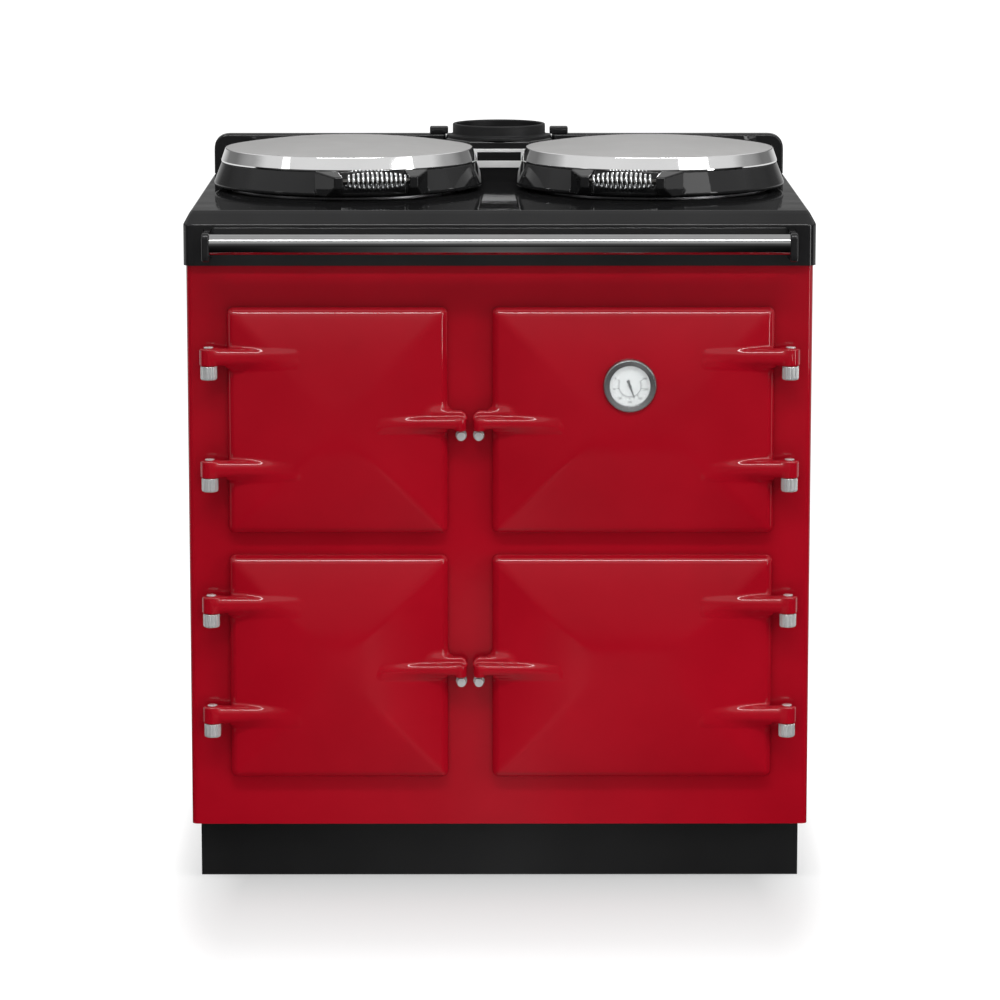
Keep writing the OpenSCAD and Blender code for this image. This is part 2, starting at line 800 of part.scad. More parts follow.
module badge_plate() {
  color(chrome) difference() {
    translate([-badge_w / 2, flue_box_y - badge_t, hob_h + badge_z])
      cube([badge_w, badge_t, badge_h]);
    translate([-inset_w / 2, flue_box_y - badge_t - cut, hob_h + badge_z + inset_z])
      cube([inset_w, inset_t + cut, inset_h]);
  }
}

module badge_inset() {
  color(black) translate([-inset_w / 2, flue_box_y - badge_t, hob_h + badge_z + inset_z])
    cube([inset_w, inset_t, inset_h]);
}

module towel_rail() {
  x = rail_len / 2 + rail_socket;
  color(chrome) translate([0, -rail_reach, hob_h - rail_drop]) difference() {
    bar_x(rail_d / 2, -x, x);
    bar_x(rail_d / 2 - rail_t, -x - cut, x + cut);
  }
}

module rail_brackets() {
  reach = rail_front - skirt_front;
  z = hob_h - rail_drop - bracket_sag;
  color(black) for (side = [left, right]) mirror([side < 0 ? 1 : 0, 0, 0]) difference() {
    along_x(rail_len / 2, rail_len / 2 + bracket_t) {
      translate([-rail_front + bracket_r, z - bracket_h / 2])
        square([reach - bracket_r, bracket_h]);
      translate([-rail_front + reach / 2, z]) rounded_rect(reach, bracket_h, bracket_r);
    }
    translate([0, -rail_reach, hob_h - rail_drop])
      bar_x(rail_d / 2 + running_fit, rail_len / 2 - cut, rail_len / 2 + rail_socket);
  }
}

// Cast box behind an opening, open at the front
module oven_box(x, z, w, depth) {
  low = [x - w / 2, plate_t, z - opening_h / 2];
  high = [x + w / 2, plate_t + depth, z + opening_h / 2];
  difference() {
    block(low - [oven_t, 0, oven_t], high + [oven_t, oven_t, oven_t]);
    block(low - [0, cut, 0], high);
  }
}

// Two ribs along an oven's side walls, under the shelf
module runners(x, z) {
  root = 1;
  half = (runner_w + root) / 2;
  top = z - opening_h / 2 + shelf_z - wire_r;
  front = plate_t + shelf_setback - runner_w;
  for (side = [left, right])
    translate([x + side * (right_opening_w / 2 + root - half), 0, 0])
      block([-half, front, top - runner_t], [half, plate_t + oven_d + root, top]);
}

module right_oven(z) {
  color(iron) union() {
    oven_box(right_door_x, z, right_opening_w, oven_d);
    runners(right_door_x, z);
  }
}

module shelf(z) {
  x = right_opening_w / 2 - shelf_side_gap;
  front = plate_t + shelf_setback;
  back = plate_t + oven_d - shelf_back_gap;
  pitch = (back - front) / (shelf_bars - 1);
  color(chrome) translate([right_door_x, 0, z - opening_h / 2 + shelf_z]) {
    for (i = [0:shelf_bars - 1]) translate([0, front + i * pitch, 0]) bar_x(wire_r, -x, x);
    for (sx = [left, 0, right]) translate([sx * (x - wire_r), 0, 0])
      bar_y(wire_r, front - wire_r, back + wire_r);
  }
}

module combustion_chamber() {
  color(iron) difference() {
    oven_box(left_door_x, upper_door_z, left_opening_w, oven_d);
    translate([left_door_x, chamber_y, flueway_z - oven_t - cut])
      cylinder(h = oven_t + 2 * cut, r = passage_r);
    translate([left_door_x, chamber_y, chamber_floor - oven_t - cut])
      cylinder(h = oven_t + 2 * cut, r = burner_r + seat_gap);
  }
}

module burner_compartment() {
  color(steel) difference() {
    oven_box(left_door_x, lower_door_z, left_opening_w, compartment_d);
    translate([left_door_x, chamber_y, lower_door_z + opening_h / 2 - cut])
      cylinder(h = oven_t + 2 * cut, r = burner_r + seat_gap);
  }
}

module burner() {
  flange_r = burner_r + burner_flange;
  color(iron) translate([left_door_x, chamber_y, chamber_floor]) difference() {
    union() {
      translate([0, 0, -burner_depth]) cylinder(h = burner_depth, r = burner_r);
      cylinder(h = burner_t, r = flange_r);
    }
    translate([0, 0, burner_t - burner_depth])
      cylinder(h = burner_depth + cut, r = burner_r - burner_t);
  }
}

module control_panel() {
  w = left_opening_w;
  color(steel) difference() {
    translate([left_door_x - w / 2, panel_y, lower_door_z - opening_h / 2]) union() {
      block([0, 0, 0], [w, panel_t, panel_h]);
      block([0, 0, 0], [w, panel_foot, panel_t]);
    }
    translate([knob_x, 0, knob_z])
      bar_y(spindle_r + running_fit, panel_y - cut, panel_y + panel_t + cut);
  }
}

module thermostat_knob() {
  front = panel_y - seat_gap - knob_h;
  color(black) translate([knob_x, 0, knob_z]) difference() {
    union() {
      bar_y(knob_r, panel_y - seat_gap - knob_skirt_h, panel_y - seat_gap);
      bar_y(knob_front_r, front, panel_y - seat_gap);
      bar_y(spindle_r, front, panel_y + panel_t + spindle_len);
    }
    block([-knob_mark / 2, front - cut, knob_front_r / 2],
      [knob_mark / 2, front + knob_mark, knob_front_r + cut]);
  }
}

module insulation() {
  g = seat_gap;
  front = plate_t + g;
  back = body_d - sheet_t - g;
  wall = body_w / 2 - sheet_t - g;
  low_box = lower_door_z - half_box_h - g;
  color(wool) {
    block([oven_right + g, front, base_z + g], [wall, back, skirt_z - g]);
    block([-wall, front, base_z + g], [chamber_left - g, back, skirt_z - g]);
    block([chamber_right + g, front, base_z + g],
      [oven_left - g, oven_back - g, flueway_z - g]);
    block([oven_left + g, front, lower_door_z + half_box_h + g],
      [oven_right - g, oven_back - g, upper_door_z - half_box_h - g]);
    block([oven_left + g, front, base_z + g], [oven_right - g, oven_back - g, low_box]);
    block([chamber_left + g, front, base_z + g], [chamber_right - g, oven_back - g, low_box]);
    block([chamber_left + g, oven_back + g, base_z + g],
      [oven_right - g, back, flueway_z - g]);
  }
}

// Height of each hinge arm's underside above the floor, for both rows of doors
arm_heights = [for (z = [lower_door_z, upper_door_z], drop = arm_drops)
  z + door_h / 2 - drop];

module hinge_posts() {
  color(chrome) for (side = [left, right], z = arm_heights)
    translate([side * pin_x, -pin_reach, z - arm_r - seat_gap - post_h]) difference() {
      union() {
        translate([0, 0, post_bevel]) cylinder(h = post_h - 2 * post_bevel, r = post_r);
        cylinder(h = post_h, r = post_r - post_bevel);
        translate([0, 0, post_h / 2]) bar_y(post_stem_r, 0, pin_reach);
      }
      translate([0, 0, post_h / 3]) cylinder(h = post_h, r = pin_r + running_fit);
    }
}

module hinge_pins() {
  low = -arm_r - seat_gap - post_h * 2 / 3;
  top = arm_r + seat_gap;
  color(chrome) for (side = [left, right], z = arm_heights)
    translate([side * pin_x, -pin_reach, z]) {
      translate([0, 0, low]) cylinder(h = top - low + pin_cap_h, r = pin_r);
      translate([0, 0, top]) cylinder(h = pin_cap_h - pin_cap_step, r = pin_cap_r);
      translate([0, 0, top]) cylinder(h = pin_cap_h, r = pin_cap_r - pin_cap_step);
    }
}

stud_out = nose_out - lobe_r + lobe_drop;
left_stud_x = left_door_x + left_door_w / 2 + stud_out;
right_stud_x = right_door_x - right_door_w / 2 - stud_out;

module catch_studs() {
  color(chrome) for (x = [left_stud_x, right_stud_x], z = [lower_door_z, upper_door_z])
    translate([x, 0, z + door_h / 2 - nose_drop - stud_drop]) {
      bar_y(stud_foot_r, -stud_foot_h, 0);
      bar_y(stud_foot_r / 2, -stud_reach, 0);
      translate([0, -stud_reach, 0]) sphere(stud_ball_r);
    }
}

// Vaulted face of a door of width w, centred on the door
module vaulted_slab(w) {
  half = min(w, door_h) / 2;
  steps = 10;
  reach = half * vault_reach;
  bevel = (1 - sin(45)) * door_edge_r;
  edge_y = -vault(door_edge_r, half);
  rings = [
    ring(w, door_h, door_corner_r, -door_gap),
    ring(w, door_h, door_corner_r, edge_y + door_edge_r),
    ring(w - 2 * bevel, door_h - 2 * bevel, door_corner_r - bevel, edge_y + bevel),
    for (i = [0:steps])
      let (d = door_edge_r + (reach - door_edge_r) * i / steps,
        r = max(least_corner_r, door_corner_r - d))
      ring(w - 2 * d, door_h - 2 * d, r, -vault(d, half))
  ];
  loft(rings);
}

// Door casting of width w with its hinge pins at x = -edge, centred on the door
module door_casting(w, edge, thermometer) {
  z_top = door_h / 2;
  nose_end = w / 2 + nose_out;
  difference() {
    union() {
      vaulted_slab(w);
      for (drop = arm_drops) translate([0, -pin_reach, z_top - drop]) {
        bar_x(arm_r - knuckle_step, -edge, arm_run - w / 2);
        translate([arm_run - w / 2, 0, 0]) sphere(arm_r - knuckle_step);
        translate([-edge, 0, -arm_r]) cylinder(h = 2 * arm_r, r = arm_r + knuckle_step);
      }
      translate([0, -pin_reach, z_top - nose_drop]) {
        bar_x(nose_r, w / 2 - nose_run, nose_end - nose_r);
        translate([w / 2 - nose_run, 0, 0]) sphere(nose_r);
        translate([nose_end - nose_r, 0, 0]) sphere(nose_r);
        translate([nose_end - lobe_r, 0, lobe_drop - nose_r]) sphere(lobe_r);
      }
    }
    for (drop = arm_drops) translate([-edge, -pin_reach, z_top - drop - arm_r - cut])
      cylinder(h = 2 * arm_r + 2 * cut, r = pin_r + running_fit);
    along_y(-door_gap - door_recess, 0)
      rounded_rect(w - 2 * door_wall, door_h - 2 * door_wall, door_corner_r);
    along_y(-door_gap - door_pocket, 0)
      rounded_rect(w - 2 * door_pocket_inset, door_h - 2 * door_pocket_inset, door_corner_r);
    if (thermometer) translate([thermo_shift, 0, z_top - thermo_drop]) {
      bar_y(bezel_r + running_fit, -bezel_reach, seat_y);
      bar_y(bezel_r - bezel_w + 2 * running_fit, -bezel_reach, 0);
    }
  }
}

// Puts a door piece that is drawn with its hinges on the left into its place
module at_door(side, z) {
  x = side < 0 ? left_door_x : right_door_x;
  translate([x, 0, z]) mirror([side < 0 ? 0 : 1, 0, 0]) children();
}

module door(side, z, thermometer = false) {
  w = side < 0 ? left_door_w : right_door_w;
  edge = side < 0 ? pin_x + left_door_x : pin_x - right_door_x;
  color(red) at_door(side, z) door_casting(w, edge, thermometer);
}

module liner(side, z, thermometer = false) {
  w = side < 0 ? left_opening_w : right_opening_w;
  pan_w = w - 2 * pan_gap;
  pan_h = opening_h - 2 * pan_gap;
  flange_w = w + 2 * (opening_inset - door_wall - seal_w - 2 * seat_gap);
  flange_h = opening_h + 2 * (opening_inset - door_wall - seal_w - 2 * seat_gap);
  back = -door_gap - door_recess;
  color(steel) at_door(side, z) difference() {
    union() {
      along_y(back, back + pan_t) rounded_rect(flange_w, flange_h, door_corner_r);
      along_y(back, pan_depth) rounded_rect(pan_w, pan_h, opening_r);
    }
    along_y(back - cut, pan_depth - pan_t)
      rounded_rect(pan_w - 2 * pan_t, pan_h - 2 * pan_t, opening_r - pan_t);
  }
}

module seal(side, z) {
  inset = 2 * (door_wall + seat_gap);
  w = (side < 0 ? left_door_w : right_door_w) - inset;
  h = door_h - inset;
  color([0.85, 0.84, 0.80]) at_door(side, z) along_y(-door_gap - door_recess, -seat_gap)
    difference() {
      rounded_rect(w, h, door_corner_r);
      rounded_rect(w - 2 * seal_w, h - 2 * seal_w, door_corner_r / 2);
    }
}

// Puts a piece of the thermometer on its axis
module at_thermometer() {
  translate([thermo_x, 0, thermo_z]) children();
}

module thermometer_bezel() {
  inner = bezel_r - bezel_w;
  color(chrome) at_thermometer() difference() {
    union() {
      bar_y(bezel_r - bezel_bevel, -bezel_reach, seat_y);
      bar_y(bezel_r, bezel_bevel - bezel_reach, seat_y);
      bar_y(inner + running_fit, -bezel_reach, seat_y + housing_len);
    }
    bar_y(inner - bezel_lip, -bezel_reach - cut, dial_y + dial_t);
    bar_y(inner - housing_t, -bezel_reach, seat_y + housing_len - housing_t);
  }
}

module thermometer_dial() {
  color(steel) at_thermometer() difference() {
    bar_y(dial_r, dial_y, dial_y + dial_t);
    bar_y(pointer_spindle_r + running_fit, dial_y - cut, dial_y + dial_t + cut);
  }
}

module thermometer_glass() {
  color([0.8, 0.9, 1, 0.3]) at_thermometer()
    bar_y(dial_r, glass_y, glass_y + thermo_glass_t);
}

module thermometer_pointer() {
  front = dial_y - pointer_gap - pointer_t;
  color([0.25, 0.25, 0.26]) at_thermometer() rotate([0, -pointer_rest, 0]) {
    along_y(front, dial_y - pointer_gap) {
      polygon([[-pointer_w / 2, 0], [0, -pointer_len], [pointer_w / 2, 0],
        [pointer_tail_w / 2, pointer_tail], [-pointer_tail_w / 2, pointer_tail]]);
      circle(pointer_hub_r);
    }
    bar_y(pointer_spindle_r, front, dial_y + pointer_spindle_len);
  }
}

// Puts a lid piece, drawn with its handle towards -Y, on its hotplate
module at_lid(side) {
  translate([side * hotplate_pitch / 2, hotplate_y, hob_h + lid_gap])
    rotate([0, 0, -side * lid_turn]) children();
}

module hinge_lug() {
  wall = lid_base_top_r - lug_root;
  top = lid_base_h - lug_top_drop;
  along_x(-barrel_len / 2, barrel_len / 2) {
    polygon([[wall, hinge_lug_z], [lid_r - 1, hinge_lug_z], [hinge_reach + barrel_r, hinge_z],
      [hinge_reach - barrel_r, hinge_z], [cover_r + cover_clear, top], [wall, top]]);
    translate([hinge_reach, hinge_z]) circle(barrel_r);
  }
}

module handle_lugs() {
  inner = grip_len / 2;
  front = handle_reach + lug_front;
  back = lid_base_top_r - lug_root;
  for (side = [left, right]) translate([0, 0, lid_base_h - lug_top_drop - lug_h])
    linear_extrude(lug_h) polygon([[side * inner, -front], [side * (inner + lug_w), -front],
      [side * (inner + lug_w + lug_spread), -back], [side * inner, -back]]);
}

module lid_base(side) {
  h = lid_base_h;
  bevel = (1 - sin(45)) * lid_edge_r;
  color(black) at_lid(side) difference() {
    union() {
      rotate_extrude($fn = 120) polygon([[0, h - lid_roof_t], [lid_inner_r, h - lid_roof_t],
        [lid_inner_r, 0], [lid_r - lid_edge_r, 0], [lid_r - bevel, bevel], [lid_r, lid_edge_r],
        [lid_base_top_r, h], [0, h]]);
      handle_lugs();
      hinge_lug();
    }
    translate([0, 0, -cut]) cylinder(h = h - lid_roof_t + cut, r = lid_inner_r, $fn = 120);
    translate([0, -handle_reach, handle_z])
      bar_x(rod_r + running_fit, -grip_len / 2 - rod_seat, grip_len / 2 + rod_seat);
    translate([0, hinge_reach, hinge_z])
      bar_x(lid_pin_r + running_fit, -barrel_len / 2 - cut, barrel_len / 2 + cut);
  }
}

// Height of the cover's domed top at radius r, drawn in by t
function dome(r, t) = lid_base_h + cover_side_h - t
  + cover_rise * (1 - pow(r / (cover_top_r - t), 2));

module lid_cover(side) {
  steps = 8;
  t = cover_t;
  color(chrome) at_lid(side) rotate_extrude($fn = 120) polygon([
    [cover_r - t, lid_base_h], [cover_r, lid_base_h], [cover_r, lid_base_h + cover_band],
    for (i = [0:steps]) let (r = cover_top_r * (1 - i / steps)) [r, dome(r, 0)],
    for (i = [steps:-1:0]) let (r = (cover_top_r - t) * (1 - i / steps)) [r, dome(r, t)],
    [cover_r - t, lid_base_h + cover_band]
  ]);
}

module lid_liner(side) {
  color(steel) at_lid(side) translate([0, 0, lid_liner_z])
    cylinder(h = lid_liner_t, r = lid_inner_r - running_fit, $fn = 120);
}

module lid_rod(side) {
  x = grip_len / 2 + rod_seat;
  color(chrome) at_lid(side) translate([0, -handle_reach, handle_z]) bar_x(rod_r, -x, x);
}

// Centre line of the sprung grip: a barrel-shaped helix between two straight ends
grip_sides = 6;
turn_rings = 8;
grip_steps = grip_turns * turn_rings;
grip_straight = grip_wire;
grip_wound = grip_len - 2 * grip_straight;
function grip_radius(u) = (grip_end_d + (grip_d - grip_end_d) * sqrt(max(0, sin(180 * u)))
  - grip_wire) / 2;
grip_helix = [for (i = [0:grip_steps])
  let (u = i / grip_steps, a = 360 * i / turn_rings, r = grip_radius(u))
  [grip_wound * (u - 0.5), r * cos(a), r * sin(a)]];
grip_path = concat([grip_helix[0] - [grip_straight, 0, 0]], grip_helix,
  [grip_helix[grip_steps] + [grip_straight, 0, 0]]);
grip_last = len(grip_path) - 1;
grip_gap = min([for (i = [0:grip_last - turn_rings + 1], j = [i + turn_rings - 1:
  min(i + turn_rings + 1, grip_last)]) norm(grip_path[i] - grip_path[j])]) - grip_wire;
echo(least_gap_in_grip = grip_gap);

function unit(v) = v / norm(v);
function grip_tangent(i) = i == 0 || i == grip_last ? [1, 0, 0]
  : unit(unit(grip_path[i + 1] - grip_path[i]) + unit(grip_path[i] - grip_path[i - 1]));
function grip_ring(i) =
  let (p = grip_path[i], t = grip_tangent(i),
    out = unit([0, p[1], p[2]]), n = unit(out - (out * t) * t), b = cross(t, n))
  [for (k = [0:grip_sides - 1]) let (a = 360 * k / grip_sides)
    p + grip_wire / 2 * (n * cos(a) + b * sin(a))];

module lid_spring(side) {
  color(chrome) at_lid(side) translate([0, -handle_reach, handle_z])
    loft([for (i = [0:grip_last]) grip_ring(i)]);
}

ear_inner = barrel_len / 2 + seat_gap;

module lid_hinge_brackets() {
  color(black) for (side = [left, right]) at_lid(side) difference() {
    union() {
      for (x = [-ear_inner - ear_t, ear_inner]) along_x(x, x + ear_t) {
        translate([hinge_reach - barrel_r, -lid_gap]) square([2 * barrel_r, hinge_z + lid_gap]);
        translate([hinge_reach, hinge_z]) circle(barrel_r);
      }
      block([-ear_inner - ear_t, hinge_reach - barrel_r, -lid_gap],
        [ear_inner + ear_t, hinge_reach + barrel_r, ear_foot_t - lid_gap]);
    }
    translate([0, hinge_reach, hinge_z])
      bar_x(lid_pin_r + running_fit, -ear_inner - ear_t - cut, ear_inner + ear_t + cut);
  }
}

module lid_hinge_pins() {
  x = ear_inner + ear_t + seat_gap;
  color(steel) for (side = [left, right]) at_lid(side) translate([0, hinge_reach, hinge_z]) {
    bar_x(lid_pin_r, -x - lid_pin_head_t, x + lid_pin_head_t);
    for (at = [-x - lid_pin_head_t, x]) bar_x(lid_pin_head_r, at, at + lid_pin_head_t);
  }
}

place() plinth();
place() levelling_feet();
place() base_plate();
place() side_panel(left);  // side_panel_left
place() side_panel(right);  // side_panel_right
place() back_panel();
place() front_plate();
place() top_plate();
place() upstand();
place() hotplate(left);  // hotplate_left
place() hotplate(right);  // hotplate_right
place() flueway();
place() flue_box();
place() flue_collar();
place() flue_clamps();
place() badge_plate();
place() badge_inset();
place() towel_rail();
place() rail_brackets();
place() right_oven(upper_door_z);  // main_oven
place() right_oven(lower_door_z);  // slow_oven
place() shelf(upper_door_z);  // main_oven_shelf
place() shelf(lower_door_z);  // slow_oven_shelf
place() combustion_chamber();
place() burner_compartment();
place() burner();
place() control_panel();
place() thermostat_knob();
place() insulation();
place() hinge_posts();
place() hinge_pins();
place() catch_studs();
place() lid_hinge_brackets();
place() lid_hinge_pins();
place() door(left, upper_door_z);  // door_upper_left
place() door(right, upper_door_z, true);  // door_upper_right
place() door(left, lower_door_z);  // door_lower_left
place() door(right, lower_door_z);  // door_lower_right
place() liner(left, upper_door_z);  // liner_upper_left
place() liner(right, upper_door_z);  // liner_upper_right
place() liner(left, lower_door_z);  // liner_lower_left
place() liner(right, lower_door_z);  // liner_lower_right
place() seal(left, upper_door_z);  // seal_upper_left
place() seal(right, upper_door_z);  // seal_upper_right
place() seal(left, lower_door_z);  // seal_lower_left
place() seal(right, lower_door_z);  // seal_lower_right
place() thermometer_bezel();
place() thermometer_dial();
place() thermometer_glass();
place() thermometer_pointer();
place() lid_base(left);  // lid_left_base
place() lid_cover(left);  // lid_left_cover
place() lid_liner(left);  // lid_left_liner
place() lid_rod(left);  // lid_left_rod
place() lid_spring(left);  // lid_left_spring
place() lid_base(right);  // lid_right_base
place() lid_cover(right);  // lid_right_cover
place() lid_liner(right);  // lid_right_liner
place() lid_rod(right);  // lid_right_rod
place() lid_spring(right);  // lid_right_spring
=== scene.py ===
import json
import math
from itertools import product

import bmesh
import bpy
import numpy as np
from mathutils import Matrix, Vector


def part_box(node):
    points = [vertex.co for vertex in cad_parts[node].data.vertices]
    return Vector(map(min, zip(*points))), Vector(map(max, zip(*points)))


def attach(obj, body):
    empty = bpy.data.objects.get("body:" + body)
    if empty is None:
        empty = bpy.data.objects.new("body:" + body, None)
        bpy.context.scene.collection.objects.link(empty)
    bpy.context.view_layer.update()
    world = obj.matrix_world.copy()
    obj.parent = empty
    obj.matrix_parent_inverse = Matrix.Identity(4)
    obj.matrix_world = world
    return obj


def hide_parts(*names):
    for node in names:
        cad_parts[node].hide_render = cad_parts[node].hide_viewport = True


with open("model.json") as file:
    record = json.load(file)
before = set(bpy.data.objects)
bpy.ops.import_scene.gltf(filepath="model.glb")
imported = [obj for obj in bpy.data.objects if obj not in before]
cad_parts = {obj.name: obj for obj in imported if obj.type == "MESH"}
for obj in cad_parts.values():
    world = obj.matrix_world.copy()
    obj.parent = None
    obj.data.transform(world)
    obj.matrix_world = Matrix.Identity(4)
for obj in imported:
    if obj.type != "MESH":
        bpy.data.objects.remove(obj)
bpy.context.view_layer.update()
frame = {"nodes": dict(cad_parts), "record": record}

nodes = frame["nodes"]
nodeSlots = {part["node"]: part["material_slot"] for part in frame["record"]["subparts"]}
plateFace = 240.875  # how far the front plate's face lies before the frame's middle, in mm


# every form below is (points in mm, faces), with the front plate's face at y = 0
def joined(*forms):
    points, faces, start = [], [], 0
    for formPoints, formFaces in forms:
        points.append(np.asarray(formPoints, float))
        faces += [[start + i for i in face] for face in formFaces]
        start += len(formPoints)
    return np.concatenate(points), faces


def moved(form, matrix):
    points, faces = form
    m = np.array(matrix)
    return np.asarray(points, float) @ m[:3, :3].T + m[:3, 3], faces


def shift(x, y, z):
    return Matrix.Translation((x, y, z))


def turn(degrees, axis):
    return Matrix.Rotation(math.radians(degrees), 4, axis)


alongY = turn(90, "X")  # a lathe's upright axis laid towards the front
alongX = turn(90, "Y")


def loft(rings):
    # rings of points joined up, with both ends closed
    count, last = len(rings[0]), (len(rings) - 1) * len(rings[0])
    points = np.concatenate([np.asarray(ring, float) for ring in rings])
    faces = []
    for i in range(0, last, count):
        for j in range(count):
            k = (j + 1) % count
            faces.append([i + j, i + k, i + count + k, i + count + j])
    return points, faces + [list(range(count))[::-1], list(range(last, last + count))]


def slab(outline, low, high):
    return loft([[(x, y, z) for x, y in outline] for z in (low, high)])


def lathe(profile, sides=96, closed=False):
    # profile is (radius, height) pairs; radius 0 is a pole
    angles = np.arange(sides) * 2 * math.pi / sides
    points, rows = [], []
    for r, h in profile:
        if r < 1e-6:
            rows.append([len(points)] * sides)
            points.append((0, 0, h))
        else:
            rows.append(list(range(len(points), len(points) + sides)))
            points += [(r * math.cos(a), r * math.sin(a), h) for a in angles]
    faces = []
    for low, high in zip(rows, rows[1:] + (rows[:1] if closed else [])):
        for j in range(sides):
            k = (j + 1) % sides
            face = list(dict.fromkeys((low[j], low[k], high[k], high[j])))
            if len(face) > 2:
                faces.append(face)
    return np.array(points, float), faces


def rounded(corners, steps=5):
    # corners are (a, b, radius); gives the outline with each corner rounded, not closed
    path = [np.array(c[:2], float) for c in corners]
    out = []
    for i, corner in enumerate(corners):
        here, r = path[i], corner[2]
        if r <= 0 or i in (0, len(path) - 1):
            out.append(here)
            continue
        before, after = path[i - 1] - here, path[i + 1] - here
        lb, la = np.linalg.norm(before), np.linalg.norm(after)
        before, after = before / lb, after / la
        half = math.acos(max(-1, min(1, before @ after))) / 2
        reach = min(r / math.tan(half), lb * 0.49, la * 0.49)
        start, end = here + before * reach, here + after * reach
        for s in range(steps + 1):
            t = s / steps
            out.append((1 - t) ** 2 * start + 2 * t * (1 - t) * here + t ** 2 * end)
    return out


def roundedLoop(corners, steps=5):
    return rounded([corners[-1]] + list(corners) + [corners[0]], steps)[1:-1]


def rectangle(x0, y0, x1, y1):
    return [(x0, y0), (x1, y0), (x1, y1), (x0, y1)]


def softRectangle(x0, y0, x1, y1, r, steps):
    return roundedLoop([(x, y, r) for x, y in rectangle(x0, y0, x1, y1)], steps)


def frontRounded(side, front, back, r, step):
    # the plan of a body whose two front corners are round
    angles = np.radians(np.arange(0, 91, step))
    arc = [(side - r + r * math.sin(a), front + r - r * math.cos(a)) for a in angles]
    return [(-x, y) for x, y in arc[::-1]] + arc + [(side, back), (-side, back)]


def newObject(name, data):
    thing = bpy.data.objects.new(name, data)
    bpy.context.scene.collection.objects.link(thing)
    return thing


def bakedMesh(holder):
    # the object's mesh as its modifiers leave it; the object and its cutters go
    bpy.context.view_layer.update()
    mesh = bpy.data.meshes.new_from_object(holder.evaluated_get(bpy.context.evaluated_depsgraph_get()))
    for thing in [m.object for m in holder.modifiers if m.type == "BOOLEAN"] + [holder]:
        bpy.data.objects.remove(thing)
    return mesh


def takeForm(holder):
    mesh = bakedMesh(holder)
    points = np.zeros(len(mesh.vertices) * 3)
    mesh.vertices.foreach_get("co", points)
    faces = [list(face.vertices) for face in mesh.polygons]
    bpy.data.meshes.remove(mesh)
    return points.reshape(-1, 3), faces


def plate(outlines, thickness, edge, steps=3):
    # a flat form with softened edges, in the x-y plane and centred on z = 0; inner outlines are holes
    curve = bpy.data.curves.new("outline", "CURVE")
    curve.dimensions, curve.fill_mode = "2D", "BOTH"
    for outline in outlines:
        spline = curve.splines.new("POLY")
        spline.points.add(len(outline) - 1)
        for point, place in zip(spline.points, outline):
            point.co = (place[0], place[1], 0, 1)
        spline.use_cyclic_u = True
    curve.extrude, curve.bevel_depth = thickness / 2 - edge, edge
    curve.bevel_resolution, curve.offset = steps, -edge
    return takeForm(newObject("outline", curve))


def roundedBox(low, high, edge, steps=3):
    w, d, h = (high[i] - low[i] for i in range(3))
    middle = [(low[i] + high[i]) / 2 for i in range(3)]
    loop = softRectangle(-w / 2, -d / 2, w / 2, d / 2, edge, steps)
    return moved(plate([loop], h, edge * 0.98, steps), shift(*middle))


def cleanMesh(name, form, merge):
    # a mesh with its doubles merged and its faces turned outwards
    mesh = bpy.data.meshes.new(name)
    mesh.from_pydata(np.asarray(form[0], float).tolist(), [], form[1])
    shell = bmesh.new()
    shell.from_mesh(mesh)
    bmesh.ops.remove_doubles(shell, verts=shell.verts, dist=merge)
    bmesh.ops.recalc_face_normals(shell, faces=shell.faces)
    shell.to_mesh(mesh)
    shell.free()
    return mesh


def cutAway(form, *cutters):
    # takes closed cutters away from a closed form, exactly
    holder = newObject("cutting", cleanMesh("cutting", form, 0.001))
    for cutter in cutters:
        tool = newObject("cutter", cleanMesh("cutter", cutter, 0.001))
        change = holder.modifiers.new("cut", "BOOLEAN")
        change.operation, change.solver, change.object = "DIFFERENCE", "EXACT", tool
    return takeForm(holder)


def inFrame(points):
    # from mm about the front plate's face to metres in the shared frame
    return points * 0.001 - (0, plateFace * 0.001, 0)


def finishPiece(name, mesh, node, look, body):
    # the look is one of the finishes; without one, a piece has the look of the node that it stands for
    slot = nodeSlots[node] if node else look
    mesh.materials.append(finish[look or slot])
    piece = newObject(name, mesh)
    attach(piece, body)
    if node:
        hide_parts(node)
    return piece


def makePiece(name, forms, node, look=None, body="cabinet", sharp=35):
    # forms in mm become one piece in the shared frame, smooth but for edges sharper than the angle
    points, faces = joined(*([forms] if isinstance(forms, tuple) else forms))
    mesh = cleanMesh(name, (inFrame(points), faces), 2e-6)
    mesh.polygons.foreach_set("use_smooth", [True] * len(mesh.polygons))
    mesh.set_sharp_from_angle(angle=math.radians(sharp))
    holder = newObject(name + "Raw", mesh)
    holder.modifiers.new("even", "WEIGHTED_NORMAL").keep_sharp = True
    final = bakedMesh(holder)
    final.name = name
    return finishPiece(name, final, node, look, body)


# cast forms are distance fields, meshed on a graded grid and drawn onto the exact surface
def smoothMin(a, b, k):
    h = np.clip(0.5 + 0.5 * (b - a) / k, 0, 1)
    return b + (a - b) * h - k * h * (1 - h)


def roundMax(a, b, r):
    u, v = np.maximum(a + r, 0), np.maximum(b + r, 0)
    return np.minimum(np.maximum(a, b), -r) + np.hypot(u, v)


def gradedLine(low, high, coarse, fine, bands):
    # grid places from low to high, fine in the bands and coarser away from them
    line, here = [low], low
    while here < high:
        near = min([max(a - here, here - b, 0) for a, b in bands] + [1e9])
        here += min(coarse, fine + 0.35 * near)
        line.append(here)
    return np.array(line)


